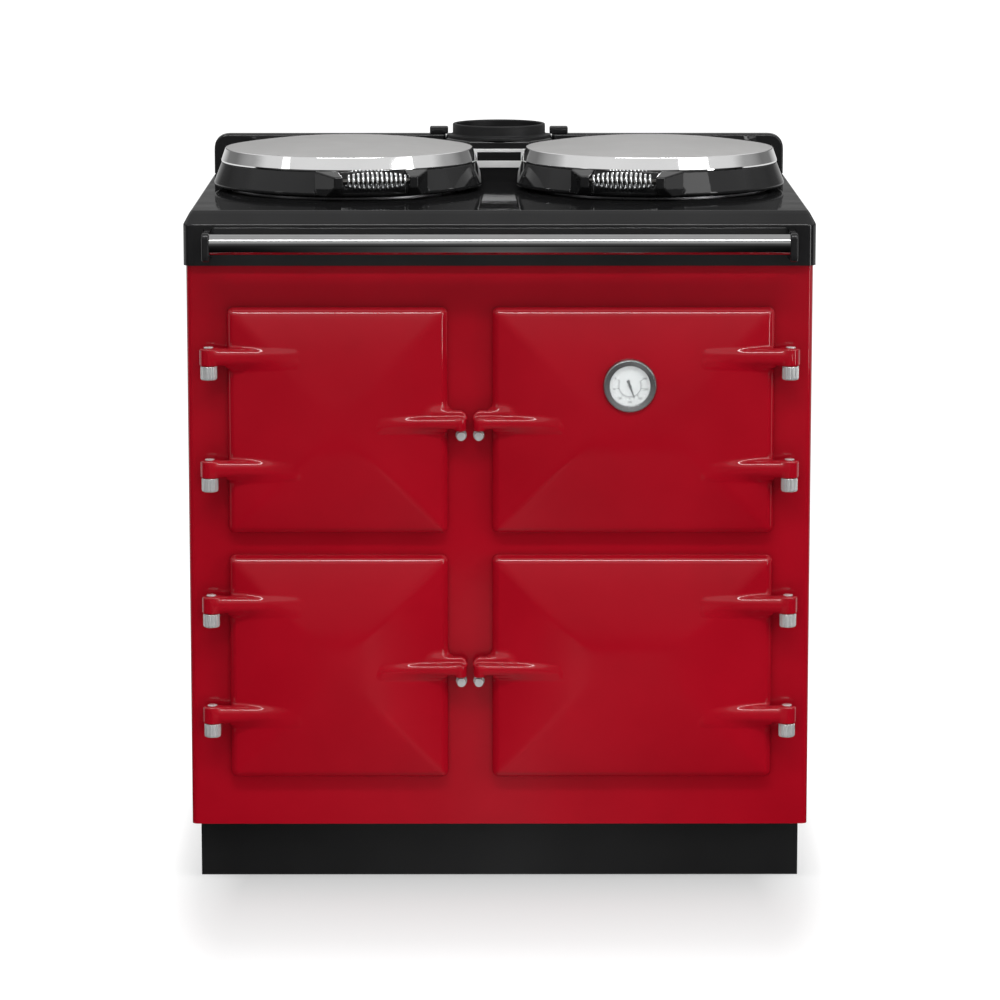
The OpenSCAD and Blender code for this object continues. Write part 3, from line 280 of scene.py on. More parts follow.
def netMesh(field, xs, ys, zs):
    # one point in each cell that the surface crosses, and one quad round each grid line that it cuts
    lines = (xs, ys, zs)
    size = tuple(len(line) for line in lines)
    value = np.broadcast_to(field(*np.meshgrid(xs, ys, zs, indexing="ij", sparse=True)), size)
    inside = value < 0
    cells = tuple(n - 1 for n in size)
    full = np.zeros(cells, np.int8)
    for corner in product((0, 1), repeat=3):
        full += inside[tuple(slice(c, n + c) for c, n in zip(corner, cells))]
    active = (full > 0) & (full < 8)
    at = np.argwhere(active)
    number = -np.ones(cells, np.int64)
    number[active] = np.arange(len(at))
    total, hits = np.zeros((len(at), 3)), np.zeros(len(at))
    for axis in range(3):
        for first in product((0, 1), repeat=3):
            if first[axis]:
                continue
            second = tuple(1 if i == axis else first[i] for i in range(3))
            a, b = at + first, at + second
            va, vb = value[tuple(a.T)], value[tuple(b.T)]
            crossed = (va < 0) != (vb < 0)
            t = np.where(crossed, va / np.where(crossed, va - vb, 1), 0)
            for i in range(3):
                pa, pb = lines[i][a[:, i]], lines[i][b[:, i]]
                total[:, i] += np.where(crossed, pa + t * (pb - pa), 0)
            hits += crossed
    quads = []
    for axis in range(3):
        u, v = [(1, 2), (2, 0), (0, 1)][axis]
        change = np.diff(inside, axis=axis)
        trim = [slice(None)] * 3
        trim[u], trim[v] = slice(1, -1), slice(1, -1)
        where = np.argwhere(change[tuple(trim)])
        where[:, (u, v)] += 1
        around = []
        for step in ((-1, -1), (0, -1), (0, 0), (-1, 0)):
            cell = where.copy()
            cell[:, (u, v)] += step
            around.append(number[tuple(cell.T)])
        ring = np.stack(around, 1)
        outward = inside[tuple(where.T)]
        ring[~outward] = ring[~outward][:, ::-1]
        quads.append(ring)
    return total / hits[:, None], np.concatenate(quads)


def slopeOf(field, p, reach=0.02):
    parts = []
    for axis in range(3):
        step = np.zeros(3)
        step[axis] = reach
        parts.append((field(*(p + step).T) - field(*(p - step).T)) / (2 * reach))
    return np.stack(parts, 1)


def castForm(field, xs, ys, zs, most=1.2):
    points, quads = netMesh(field, xs, ys, zs)
    for _ in range(4):
        slope = slopeOf(field, points)
        move = slope * (field(*points.T) / np.maximum((slope ** 2).sum(1), 0.2))[:, None]
        length = np.linalg.norm(move, axis=1)
        points = points - move * np.minimum(1, most / np.maximum(length, 1e-9))[:, None]
    slope = slopeOf(field, points, 0.25)
    normals = slope / np.maximum(np.linalg.norm(slope, axis=1), 1e-9)[:, None]
    return points, quads, normals


def castPiece(name, cast, matrix, node, body, mirrored=False):
    points, quads, normals = cast
    if mirrored:
        points, normals, quads = points * (-1, 1, 1), normals * (-1, 1, 1), quads[:, ::-1]
    points = inFrame(moved((points, quads), matrix)[0])
    mesh = bpy.data.meshes.new(name)
    mesh.from_pydata(points.tolist(), [], quads.tolist())
    mesh.polygons.foreach_set("use_smooth", [True] * len(mesh.polygons))
    mesh.normals_split_custom_set_from_vertices((normals @ np.array(matrix)[:3, :3].T).tolist())
    return finishPiece(name, mesh, node, None, body)


# node helpers, for materials and for grown forms alike
def feed(tree, node, inputs):
    for name, value in inputs.items():
        if isinstance(value, bpy.types.NodeSocket):
            tree.links.new(value, node.inputs[name])
        else:
            node.inputs[name].default_value = value
    return node


def put(tree, kind, inputs={}, **settings):
    node = tree.nodes.new(kind)
    for name, value in settings.items():
        setattr(node, name, value)
    return feed(tree, node, inputs)


def reckon(tree, operation, a, b=None):
    inputs = {0: a} if b is None else {0: a, 1: b}
    return put(tree, "ShaderNodeMath", inputs, operation=operation).outputs[0]


def times(tree, a, b):
    return reckon(tree, "MULTIPLY", a, b)


def vector(tree, *parts):
    inputs = {i: part for i, part in enumerate(parts) if part is not None}
    return put(tree, "ShaderNodeCombineXYZ", inputs).outputs[0]


def blendColour(tree, factor, a, b):
    # a and b are sockets or three numbers
    a, b = (c if isinstance(c, bpy.types.NodeSocket) else (*c, 1) for c in (a, b))
    return put(tree, "ShaderNodeMix", {0: factor, 6: a, 7: b}, data_type="RGBA").outputs[2]


def between(tree, value, low, high, toLow=0.0, toHigh=1.0):
    return put(tree, "ShaderNodeMapRange", {"Value": value, "From Min": low, "From Max": high,
                                            "To Min": toLow, "To Max": toHigh}).outputs[0]


def startTree(kind, name, inputs, outputs):
    tree = bpy.data.node_groups.new(name, kind)
    for label, value in inputs.items():
        number = "NodeSocketInt" if isinstance(value, int) else "NodeSocketFloat"
        tree.interface.new_socket(label, in_out="INPUT", socket_type=number).default_value = value
    for label, holds in outputs.items():
        tree.interface.new_socket(label, in_out="OUTPUT", socket_type="NodeSocket" + holds)
    return tree, tree.nodes.new("NodeGroupInput").outputs, tree.nodes.new("NodeGroupOutput")


def startMaterial(name):
    material = bpy.data.materials.new(name)
    material.use_nodes = True
    return material, material.node_tree, material.node_tree.nodes["Principled BSDF"]


def objectPlace(tree):
    return put(tree, "ShaderNodeTexCoord").outputs["Object"]


def noise(tree, place, scale, detail=2.0, rough=0.5):
    return put(tree, "ShaderNodeTexNoise", {"Vector": place, "Scale": scale, "Detail": detail,
                                            "Roughness": rough}).outputs[0]


def bump(tree, height, distance, under={}):
    return put(tree, "ShaderNodeBump", {"Height": height, "Distance": distance, **under}).outputs[0]


print("stage: shaders")


def makeEnamelSkin():
    # melted glass on rough iron: slow waves, a ragged ripple and a fine orange peel
    depths = {"Wave": 0.0003, "Ripple": 0.0001, "Peel": 0.000012}
    group, depth, end = startTree("ShaderNodeTree", "enamelSkin", depths,
                                  {"Normal": "Vector", "Shade": "Float", "Gloss": "Float"})
    place = objectPlace(group)
    patches = between(group, noise(group, place, 5.5, 2), 0.42, 0.62, 0.35, 1.0)
    ragged = times(group, noise(group, place, 75, 3, 0.6), patches)
    waves = bump(group, noise(group, place, 14, 1), depth["Wave"])
    ripples = bump(group, ragged, depth["Ripple"], {"Normal": waves})
    peel = bump(group, noise(group, place, 420, 2), depth["Peel"], {"Normal": ripples})
    feed(group, end, {"Normal": peel, "Shade": between(group, noise(group, place, 9, 3), 0.3, 0.7),
                      "Gloss": between(group, noise(group, place, 30, 4), 0.3, 0.75)})
    return group


def makeCastGrain():
    # sand-cast or milled iron: close grain and a few pits
    group, size, end = startTree("ShaderNodeTree", "castGrain", {"Depth": 0.0002, "Scale": 300.0},
                                 {"Normal": "Vector", "Shade": "Float"})
    place = objectPlace(group)
    pits = put(group, "ShaderNodeTexVoronoi", {"Vector": place, "Scale": 90.0}).outputs["Distance"]
    height = times(group, noise(group, place, size["Scale"], 4.0), between(group, pits, 0.0, 0.25))
    feed(group, end, {"Normal": bump(group, height, size["Depth"]),
                      "Shade": between(group, noise(group, place, 24, 5, 0.65), 0.3, 0.7)})
    return group


def makePolish():
    # fine marks of polishing and handling on bright metal
    sizes = {"Across": 40.0, "Along": 600.0, "Depth": 0.00001}
    group, size, end = startTree("ShaderNodeTree", "polishMarks", sizes, {"Normal": "Vector", "Gloss": "Float"})
    place = objectPlace(group)
    scale = vector(group, size["Across"], size["Along"], size["Along"])
    stretched = put(group, "ShaderNodeVectorMath", {0: place, 1: scale}, operation="MULTIPLY").outputs[0]
    streaks, smears = noise(group, stretched, 1.0, 3), noise(group, place, 16, 4, 0.6)
    feed(group, end, {"Normal": bump(group, streaks, size["Depth"]),
                      "Gloss": between(group, times(group, streaks, smears), 0.12, 0.42)})
    return group


enamelSkin, castGrain, polishMarks = makeEnamelSkin(), makeCastGrain(), makePolish()


# each skin gives a mask for the colour, a mask for the gloss, and the normal
def enamel(tree, wave, ripple, peel):
    depths = {"Wave": wave, "Ripple": ripple, "Peel": peel}
    skin = put(tree, "ShaderNodeGroup", depths, node_tree=enamelSkin).outputs
    return skin["Shade"], skin["Gloss"], skin["Normal"]


def metal(tree, across, along, depth):
    sizes = {"Across": across, "Along": along, "Depth": depth}
    skin = put(tree, "ShaderNodeGroup", sizes, node_tree=polishMarks).outputs
    return skin["Gloss"], skin["Gloss"], skin["Normal"]


def iron(tree, depth, scale):
    skin = put(tree, "ShaderNodeGroup", {"Depth": depth, "Scale": scale}, node_tree=castGrain).outputs
    return skin["Shade"], skin["Shade"], skin["Normal"]


def paint(tree, scale, depth):
    place = objectPlace(tree)
    grain, cloud = noise(tree, place, scale, 3), noise(tree, place, 8, 3)
    return between(tree, cloud, 0.3, 0.7), between(tree, grain, 0.3, 0.7), bump(tree, grain, depth)


def fibre(tree, scale, depth):
    place = objectPlace(tree)
    strands = put(tree, "ShaderNodeTexWave", {"Vector": place, "Scale": scale, "Distortion": 9.0,
                                              "Detail": 4.0, "Detail Scale": 2.0}).outputs[1]
    fuzz = noise(tree, place, scale * 3, 5, 0.7)
    return fuzz, None, bump(tree, reckon(tree, "ADD", strands, fuzz), depth)


def turned(tree, pitch, depth):
    # fine rings round each piece's own middle, which comes from its "ringMiddle" attribute
    place = objectPlace(tree)
    own = put(tree, "ShaderNodeAttribute", attribute_name="ringMiddle", attribute_type="GEOMETRY")
    distance = put(tree, "ShaderNodeVectorMath", {0: place, 1: own.outputs["Vector"]}, operation="DISTANCE")
    distance = distance.outputs["Value"]
    rings = reckon(tree, "SINE", times(tree, distance, 2 * math.pi / pitch))
    uneven = noise(tree, place, 60, 4, 0.6)
    return uneven, between(tree, uneven, 0.3, 0.7), bump(tree, rings, depth)


sharedSockets = {enamel: {"Specular IOR Level": 0.0}, metal: {"Metallic": 1.0}, iron: {"Specular IOR Level": 0.3},
                 paint: {}, fibre: {"Sheen Weight": 0.3}, turned: {"Metallic": 1.0}}


def makeFinish(name, skin, sizes, dark, light, roughness, more={}):
    material, tree, shader = startMaterial(name)
    more = {**sharedSockets[skin], **more}
    shade, gloss, normal = skin(tree, *sizes)
    if gloss is not None:
        roughness = between(tree, gloss, 0, 1, *roughness)
    feed(tree, shader, {"Base Color": blendColour(tree, shade, dark, light), "Roughness": roughness,
                        "Normal": normal, **more})
    if "Coat Weight" in more:
        tree.links.new(normal, shader.inputs["Coat Normal"])
    return material


def speckledFinish(name):
    # dark enamel with light flecks
    material, tree, shader = startMaterial(name)
    shade, gloss, normal = enamel(tree, 0.0002, 0.0001, 0.00002)
    place = objectPlace(tree)
    dots = put(tree, "ShaderNodeTexVoronoi", {"Vector": place, "Scale": 320.0}).outputs["Distance"]
    some = between(tree, noise(tree, place, 900, 1), 0.48, 0.56)
    flecks = times(tree, between(tree, dots, 0.26, 0.16), some)
    ground = blendColour(tree, shade, (0.018, 0.018, 0.021), (0.03, 0.03, 0.034))
    feed(tree, shader, {"Base Color": blendColour(tree, flecks, ground, (0.42, 0.42, 0.43)),
                        "Roughness": between(tree, gloss, 0, 1, 0.18, 0.34), "Normal": normal,
                        "Coat Weight": 0.6, "Coat Roughness": 0.1})
    return material


def mixShaders(tree, factor, a, b):
    return put(tree, "ShaderNodeMixShader", {0: factor, 1: a.outputs[0], 2: b.outputs[0]})


def glassFinish(name):
    material, tree, shader = startMaterial(name)
    waves = bump(tree, noise(tree, objectPlace(tree), 30, 1), 0.00002)
    feed(tree, shader, {"Base Color": (0.97, 0.985, 0.98, 1), "Roughness": 0.0, "IOR": 1.3,
                        "Transmission Weight": 1.0, "Normal": waves})
    shadow = put(tree, "ShaderNodeLightPath").outputs["Is Shadow Ray"]
    seen = mixShaders(tree, shadow, shader, put(tree, "ShaderNodeBsdfTransparent"))
    tree.links.new(seen.outputs[0], tree.nodes["Material Output"].inputs["Surface"])
    return material


# finishes, under the record's slots or a piece's own name:
# material, skin and its sizes, dark and light colour, range of roughness, further sockets
finishes = {
    "red_enamel": ("redEnamel", enamel, (0.00030, 0.00010, 0.000010), (0.305, 0.0026, 0.0098),
                   (0.342, 0.0034, 0.0118), (0.34, 0.46), {"Coat Weight": 1.0, "Coat Roughness": 0.045}),
    "black_enamel": ("blackEnamel", enamel, (0.00034, 0.00009, 0.000008), (0.011, 0.011, 0.0115),
                     (0.016, 0.016, 0.0165), (0.28, 0.40), {"Coat Weight": 0.7, "Coat Roughness": 0.04}),
    "black_satin": ("blackSatin", paint, (900, 0.00003), (0.0075, 0.0075, 0.008), (0.0115, 0.0115, 0.012),
                    (0.40, 0.54)),
    "chrome": ("chromePlate", metal, (60, 200, 0.000004), (0.78, 0.79, 0.80), (0.86, 0.87, 0.88), (0.04, 0.10)),
    "bright_cover": ("brightSheet", metal, (12, 60, 0.00006), (0.93, 0.93, 0.93), (0.96, 0.96, 0.96),
                     (0.03, 0.07)),
    "bare_iron": ("bareIron", iron, (0.0003, 260), (0.028, 0.028, 0.030), (0.055, 0.054, 0.055), (0.55, 0.75),
                  {"Metallic": 0.3}),
    "sheet_steel": ("sheetSteel", metal, (30, 300, 0.00001), (0.50, 0.50, 0.51), (0.62, 0.62, 0.63),
                    (0.30, 0.42)),
    "rope": ("glassRope", fibre, (500, 0.0006), (0.55, 0.54, 0.50), (0.80, 0.79, 0.75), 0.95),
    "wool": ("mineralWool", fibre, (160, 0.002), (0.42, 0.37, 0.22), (0.62, 0.57, 0.38), 0.95),
    "dial_face": ("dialSilver", metal, (300, 300, 0.000004), (0.44, 0.445, 0.45), (0.52, 0.525, 0.53),
                  (0.42, 0.52), {"Metallic": 0.0}),
    "pointer_paint": ("pointerPaint", paint, (1500, 0.00001), (0.05, 0.052, 0.056), (0.08, 0.082, 0.086),
                      (0.3, 0.4)),
    "knob_black": ("knobPlastic", paint, (1200, 0.00004), (0.014, 0.014, 0.014), (0.02, 0.02, 0.02), (0.45, 0.6)),
    "crown": ("satinTop", metal, (30, 90, 0.000012), (0.455, 0.45, 0.445), (0.505, 0.50, 0.495), (0.44, 0.52),
              {"Metallic": 0.25}),
    "badge": ("badgeSilver", metal, (60, 300, 0.000006), (0.93, 0.93, 0.93), (0.97, 0.97, 0.97), (0.36, 0.46),
              {"Metallic": 0.15}),
    "nickel": ("satinNickel", metal, (60, 300, 0.000006), (0.76, 0.77, 0.77), (0.84, 0.85, 0.85), (0.17, 0.26),
               {"Metallic": 0.6}),
    "bezel": ("bezelChrome", metal, (25, 60, 0.00002), (0.44, 0.445, 0.45), (0.56, 0.565, 0.57), (0.16, 0.26),
              {"Metallic": 0.85}),
    # painted shade: the lid rods are darkened so that the gaps in the coil read as shade
    "rod": ("rodPaintedShade", metal, (40, 300, 0.00001), (0.05, 0.048, 0.045), (0.09, 0.087, 0.083), (0.34, 0.46)),
    "rail": ("railChrome", metal, (6, 500, 0.000004), (0.38, 0.38, 0.38), (0.44, 0.44, 0.44), (0.05, 0.08)),
    "collar": ("collarIron", iron, (0.00006, 500), (0.0065, 0.0065, 0.007), (0.011, 0.011, 0.0115), (0.42, 0.58)),
    "milled": ("milledIron", turned, (0.0009, 0.00002), (0.30, 0.30, 0.31), (0.44, 0.44, 0.45), (0.26, 0.38)),
}
finish = {slot: makeFinish(*row) for slot, row in finishes.items()}
finish["liner_enamel"], finish["dial_glass"] = speckledFinish("speckledEnamel"), glassFinish("dialGlass")

# the lid rods take the rod finish instead, darkened as painted shade
for name, node in nodes.items():  # CAD solids that stay in sight get the finish of their slot
    for place in node.material_slots:
        place.material = finish["rod" if name.endswith("_rod") else nodeSlots[name]]


print("stage: plates")

frontPlate = {"halfWidth": 410, "edge": 8, "thickness": 12, "low": 85, "high": 834,
              "openings": [(-212.5, 245), (175, 326)], "rows": (301, 630), "openingHeight": 256, "corner": 12}


def frontPlateForm():
    p = frontPlate
    high, cutters = p["openingHeight"] / 2, []
    for (x, w), z in product(p["openings"], p["rows"]):
        loop = softRectangle(-w / 2, -high, w / 2, high, p["corner"], 8)
        cutters.append(loft([[(x + a, y, z + b) for a, b in loop] for y in (-5, 20)]))
    plan = frontRounded(p["halfWidth"], 0, p["thickness"], p["edge"], 7.5)
    return cutAway(slab(plan, p["low"], p["high"]), *cutters)


makePiece("frontPlate", frontPlateForm(), "front_plate", sharp=30)

topPlate = {"side": 413.2, "front": -8, "back": 552, "low": 834, "top": 905, "corner": 14, "wall": 12,
            "thickness": 12, "sideDraw": 0.62, "pitch": 206, "plateY": 318, "seat": 162, "bore": 152, "ledge": 8,
            "lip": 2.2, "neckX": 44.3, "neckY": (437.7, 522.3), "under": 820, "over": 920}
# inset and height from the skirt's upright face up to the hob's flat top
topEdge = rounded([(0, 870, 0), (0, 887.3, 4.5), (12.2, 901.2, 6), (17, 905, 4), (24, 905, 0)], 7)[1:-1]


def topPlateForm():
    p = topPlate
    rings = []
    for inset, z in [(0, p["low"])] + topEdge:
        plan = frontRounded(p["side"] - inset * p["sideDraw"], p["front"] + inset, p["back"],
                            max(p["corner"] - inset * 0.45, 3), 10)
        rings.append([(x, y, z) for x, y in plan])
    side = p["side"] - p["wall"]
    inside = rectangle(-side, p["front"] + p["wall"], side, p["back"] - p["wall"])
    cutters = [slab(inside, 800, p["top"] - p["thickness"])]
    step = p["top"] - p["ledge"]
    bell = rounded([(p["seat"], step, 0), (p["seat"], p["top"], p["lip"]), (p["seat"] + 6, p["top"], 0)], 4)[:-1]
    profile = [(0, p["under"]), (p["bore"], p["under"]), (p["bore"], step), *bell, (bell[-1][0], p["over"]),
               (0, p["over"])]
    for side in (-1, 1):
        cutters.append(moved(lathe(profile, 160), shift(side * p["pitch"], p["plateY"], 0)))
    (y0, y1), x = p["neckY"], p["neckX"]
    cutters.append(slab(rectangle(-x, y0, x, y1), p["under"], p["over"]))
    return cutAway(loft(rings), *cutters)


makePiece("topPlate", topPlateForm(), "top_plate", sharp=38)

upstand = {"side": 404, "notch": 75.3, "front": 526, "back": 552, "low": 905, "high": 961, "corner": 22,
           "edge": 3.2}


def upstandForm():
    p = upstand
    loop = roundedLoop([(p["notch"], p["low"], 0.6), (p["side"], p["low"], 0.6),
                        (p["side"], p["high"], p["corner"]), (p["notch"], p["high"], 1.5)], 8)
    place = shift(0, (p["front"] + p["back"]) / 2, 0) @ alongY
    return [moved(plate([[(side * x, z) for x, z in loop]], p["back"] - p["front"], p["edge"]), place)
            for side in (-1, 1)]


makePiece("upstandHalves", upstandForm(), "upstand", sharp=30)

flueBox = {"frontHalf": 44, "backHalf": 75, "front": 412, "shoulder": 460, "back": 552, "low": 905, "high": 961,
           "edge": 4, "wall": 5, "corner": 7, "hole": 56, "centre": 481}


def flueBoxPlan(inset, r):
    p = flueBox
    front, side = p["frontHalf"] - inset, p["backHalf"] - inset
    low, high = p["front"] + inset, p["back"] - inset
    return roundedLoop([(-front, low, r), (front, low, r), (side, p["shoulder"], r * 1.5), (side, high, 1),
                        (-side, high, 1), (-side, p["shoulder"], r * 1.5)], 6)


def flueBoxForm():
    p = flueBox
    edge, rings = p["edge"], [[(x, y, p["low"]) for x, y in flueBoxPlan(0, p["corner"])]]
    for a in np.radians(np.arange(0, 91, 15)):
        inset, z = edge * (1 - math.cos(a)), p["high"] - edge + edge * math.sin(a)
        rings.append([(x, y, z) for x, y in flueBoxPlan(inset, p["corner"] - inset * 0.6)])
    cavity = slab(flueBoxPlan(p["wall"], 4), p["low"] - 5, p["high"] - p["wall"])
    hole = moved(lathe([(0, 940), (p["hole"], 940), (p["hole"], 980), (0, 980)], 120), shift(0, p["centre"], 0))
    return cutAway(loft(rings), cavity, hole)


makePiece("flueBox", flueBoxForm(), "flue_box", sharp=32)

collar = {"outer": 65, "inner": 60, "flange": 71, "flangeHeight": 4, "height": 19.5, "low": 961, "centre": 481}


def collarForm():
    p = collar
    profile = rounded([(p["inner"], 0, 0), (p["inner"], p["height"], 2.2), (p["outer"], p["height"], 2.2),
                       (p["outer"], p["flangeHeight"], 2.5), (p["flange"], p["flangeHeight"], 1.6),
                       (p["flange"], 0, 0)], 4)
    return moved(lathe(profile, 128, closed=True), shift(0, p["centre"], p["low"]))


makePiece("flueCollar", collarForm(), "flue_collar", "collar", sharp=40)

clamps = {"sides": ((-98, -72), (72, 98)), "front": 529, "back": 550, "low": 961, "high": 971, "edge": 2}
clampForms = [roundedBox((left, clamps["front"], clamps["low"]), (right, clamps["back"], clamps["high"]),
                         clamps["edge"]) for left, right in clamps["sides"]]
makePiece("flueClamps", clampForms, "flue_clamps", "black_enamel")

badge = {"half": 43, "low": 924, "high": 950, "front": 409, "back": 412, "insetHalf": 30.5, "insetLow": 933.6,
         "insetHigh": 945.6, "insetDepth": 1.0}


def badgeForms():
    p = badge
    half, low, high, deep = p["insetHalf"], p["insetLow"], p["insetHigh"], p["front"] + p["insetDepth"]
    outer = softRectangle(-p["half"], p["low"], p["half"], p["high"], 1.2, 4)
    rim = plate([outer, rectangle(-half, low, half, high)], p["back"] - p["front"], 0.45)
    rim = moved(rim, shift(0, (p["front"] + p["back"]) / 2, 0) @ alongY)
    back = roundedBox((-half - 1, deep + 0.6, low - 1), (half + 1, p["back"] - 0.1, high + 1), 0.3)
    panel = roundedBox((-half + 0.1, p["front"] + 0.35, low + 0.1), (half - 0.1, deep + 0.8, high - 0.1), 0.3)
    return [rim, back], panel


badgeFrame, badgePanel = badgeForms()
makePiece("badgeFrame", badgeFrame, "badge_plate", "badge")
makePiece("badgePanel", badgePanel, "badge_inset")

hotplate = {"x": 206, "y": 318, "radius": 160.5, "low": 897, "top": 907.5, "foot": 150.5, "footLow": 870,
            "edge": 1.6}


def hotplateForm(side):
    p = hotplate
    profile = rounded([(0, p["footLow"], 0), (p["foot"], p["footLow"], 2), (p["foot"], p["low"], 1),
                       (p["radius"], p["low"], 1), (p["radius"], p["top"], p["edge"]), (0, p["top"], 0)], 4)
    return moved(lathe(profile, 160), shift(side * p["x"], p["y"], 0))


for label, side in (("Left", -1), ("Right", 1)):
    piece = makePiece("hotplate" + label, hotplateForm(side), "hotplate_" + label.lower(), "milled")
    middle = piece.data.attributes.new("ringMiddle", "FLOAT_VECTOR", "POINT")
    at = (side * hotplate["x"] * 0.001, (hotplate["y"] - plateFace) * 0.001, hotplate["top"] * 0.001)
    middle.data.foreach_set("vector", list(at) * len(piece.data.vertices))


print("stage: towel rail")

rail = {"y": -55, "z": 867, "radius": 13.25, "wall": 1.5, "end": 381, "bracketIn": 375, "bracketOut": 385,
        "front": -70.25, "back": -8, "bracketZ": 864, "height": 38, "corner": 9, "edge": 2.6}


def railForms():
    p = rail
    r, inner, end = p["radius"], p["radius"] - p["wall"], p["end"]
    tube = lathe([(r, -end), (r, end), (inner, end), (inner, -end)], 64, closed=True)
    low, high = p["bracketZ"] - p["height"] / 2, p["bracketZ"] + p["height"] / 2
    loop = roundedLoop([(p["front"], low, p["corner"]), (p["back"], low, 0.5), (p["back"], high, 0.5),
                        (p["front"], high, p["corner"])], 7)
    form = plate([[(-z, y) for y, z in loop]], p["bracketOut"] - p["bracketIn"], p["edge"])
    middle = (p["bracketIn"] + p["bracketOut"]) / 2
    brackets = [moved(form, shift(side * middle, 0, 0) @ alongX) for side in (-1, 1)]
    return moved(tube, shift(0, p["y"], p["z"]) @ alongX), brackets


railTube, railBrackets = railForms()
makePiece("towelRail", railTube, "towel_rail", "rail")
makePiece("railBrackets", railBrackets, "rail_brackets", sharp=32)


print("stage: doors")

doors = {
    "upper_left": {"x": -212.5, "z": 630, "width": 289},
    "lower_left": {"x": -212.5, "z": 301, "width": 289},
    "upper_right": {"x": 175, "z": 630, "width": 370, "seat": (5, 49)},
    "lower_right": {"x": 175, "z": 301, "width": 370},
}
doorCast = {"height": 300, "corner": 9, "rim": 15, "dome": 18, "power": 2.2, "crease": 9, "edge": 10, "gap": 1,
            "pinX": 380, "pinReach": 22, "armRadius": 11.9, "armTip": 9.6, "armRun": 88, "armSink": 4.4,
            "armBlend": 4.6, "arms": (86, -62), "knuckle": 12.2, "knuckleHeight": 11.7, "noseZ": -1.5,
            "noseReach": 23.5, "noseRadius": 7.8, "noseTip": 6.6, "noseRun": 85, "noseOut": 25.3, "palmZ": 4.6,
            "palmRadius": 9.9, "palmFront": 20.5, "palmLength": 52, "lobe": 8.3, "lobeLow": -11.8, "lobeHigh": 4,
            "bore": 5.25, "boreHalf": 16, "hollows": ((9, 8), (52, 19)), "seatRadius": 34.6, "seatDepth": 27,
            "boreRadius": 26.65}
# the swellings under an arm and under the handle, where the casting runs out into the face
armSwell = {"out": 17, "drop": 9, "start": 4, "past": 2, "rise": -6, "radii": (7, 5), "blend": 5.5}
noseSwell = {"out": 18.5, "drop": 6.4, "start": 6, "past": 3, "rise": -6.5, "radii": (6.2, 4.8), "blend": 5}


def roundedRectangle(x, z, w, h, r):
    qx, qz = np.abs(x) - (w / 2 - r), np.abs(z) - (h / 2 - r)
    return np.hypot(np.maximum(qx, 0), np.maximum(qz, 0)) + np.minimum(np.maximum(qx, qz), 0) - r


def taperedArm(x, y, z, x0, x1, y1, r0, r1, power=2.5):
    # a limb from x0 to x1 that thins and sinks as it goes, nearly square across
    t = np.clip((x - x0) / (x1 - x0), 0, 1)
    across = (np.abs(y - y1 * t) ** power + np.abs(z) ** power) ** (1 / power)
    return np.hypot(across, x - (x0 + (x1 - x0) * t)) - (r0 + (r1 - r0) * t)


def withSwelling(body, x, y, z, edge, tip, way, swell):
    start, end = edge + way * swell["start"], tip + way * swell["past"]
    form = taperedArm(x, y + swell["out"], z + swell["drop"], start, end, swell["rise"], *swell["radii"])
    return smoothMin(body, form, swell["blend"])


def doorField(door):
    c = doorCast
    w, h = door["width"], c["height"]
    half, root = min(w, h) / 2, -(c["pinX"] - abs(door["x"]))

    def field(x, y, z):
        # a vaulted face inside the rounded outline
        inner = smoothMin(w / 2 - np.abs(x), h / 2 - np.abs(z), c["crease"])
        d = np.clip(inner, 0, half) / half
        face = c["rim"] + c["dome"] * (1 - (1 - d) ** c["power"])
        lean = c["dome"] * c["power"] / half * (1 - d) ** (c["power"] - 1)
        front = (-y - face) / np.sqrt(1 + lean ** 2)
        outline = roundedRectangle(x, z, w, h, c["corner"])
        body = roundMax(roundMax(outline, front, c["edge"]), y + c["gap"], 0.8)
        # two hinge arms, each with its knuckle at the pin and a swelling under it
        out, tip = y + c["pinReach"], -w / 2 + c["armRun"]
        for armZ in c["arms"]:
            arm = taperedArm(x, out, z - armZ, root, tip, c["armSink"], c["armRadius"], c["armTip"])
            arm = np.maximum(arm, root - x)
            upright = np.hypot(x - root, out) - c["knuckle"]
            arm = smoothMin(arm, roundMax(upright, np.abs(z - armZ) - c["knuckleHeight"], 2.6), 3)
            body = withSwelling(body, x, y, z - armZ, -w / 2, tip, 1, armSwell)
            body = smoothMin(body, arm, c["armBlend"])
        # the handle: a thin ridge in front, the palm behind it, and a lobe over the catch
        end, tip, palm = w / 2 + c["noseOut"], w / 2 - c["noseRun"], c["palmLength"]
        palm = roundedRectangle(x - (end - palm / 2), z - c["palmZ"], palm, 2 * c["palmRadius"], c["palmRadius"])
        palm = roundMax(roundMax(palm, -y - c["palmFront"], 4), y + 5, 3)
        body = withSwelling(smoothMin(body, palm, 11), x, y, z - c["noseZ"], w / 2, tip, -1, noseSwell)
        lobe = np.hypot(x - (end - c["lobe"] - 0.7), out) - c["lobe"]
        lobe = np.maximum(roundMax(lobe, c["lobeLow"] - z, 2.6), z - c["lobeHigh"])
        nose = taperedArm(x, y + c["noseReach"], z - c["noseZ"], end - c["noseRadius"] - 2.2, tip, 0.4,
                          c["noseRadius"], c["noseTip"])
        body = smoothMin(body, smoothMin(nose, lobe, 2.5), 4.5)
        # the back's hollows, the pins' bores and the thermometer's seat, whose lip is rounded over
        for inset, depth in c["hollows"]:
            hollow = roundedRectangle(x, z, w - 2 * inset, h - 2 * inset, 8)
            body = np.maximum(body, -np.maximum(hollow, -y - c["gap"] - depth))
        for armZ in c["arms"]:
            bore = np.maximum(np.hypot(x - root, out) - c["bore"], np.abs(z - armZ) - c["boreHalf"])
            body = np.maximum(body, -bore)
        if "seat" in door:
            away = np.hypot(x - door["seat"][0], z - door["seat"][1])
            body = roundMax(body, -np.maximum(away - c["seatRadius"], y + c["seatDepth"]), 0.9)
            body = np.maximum(body, c["boreRadius"] - away)
        return body
    return field


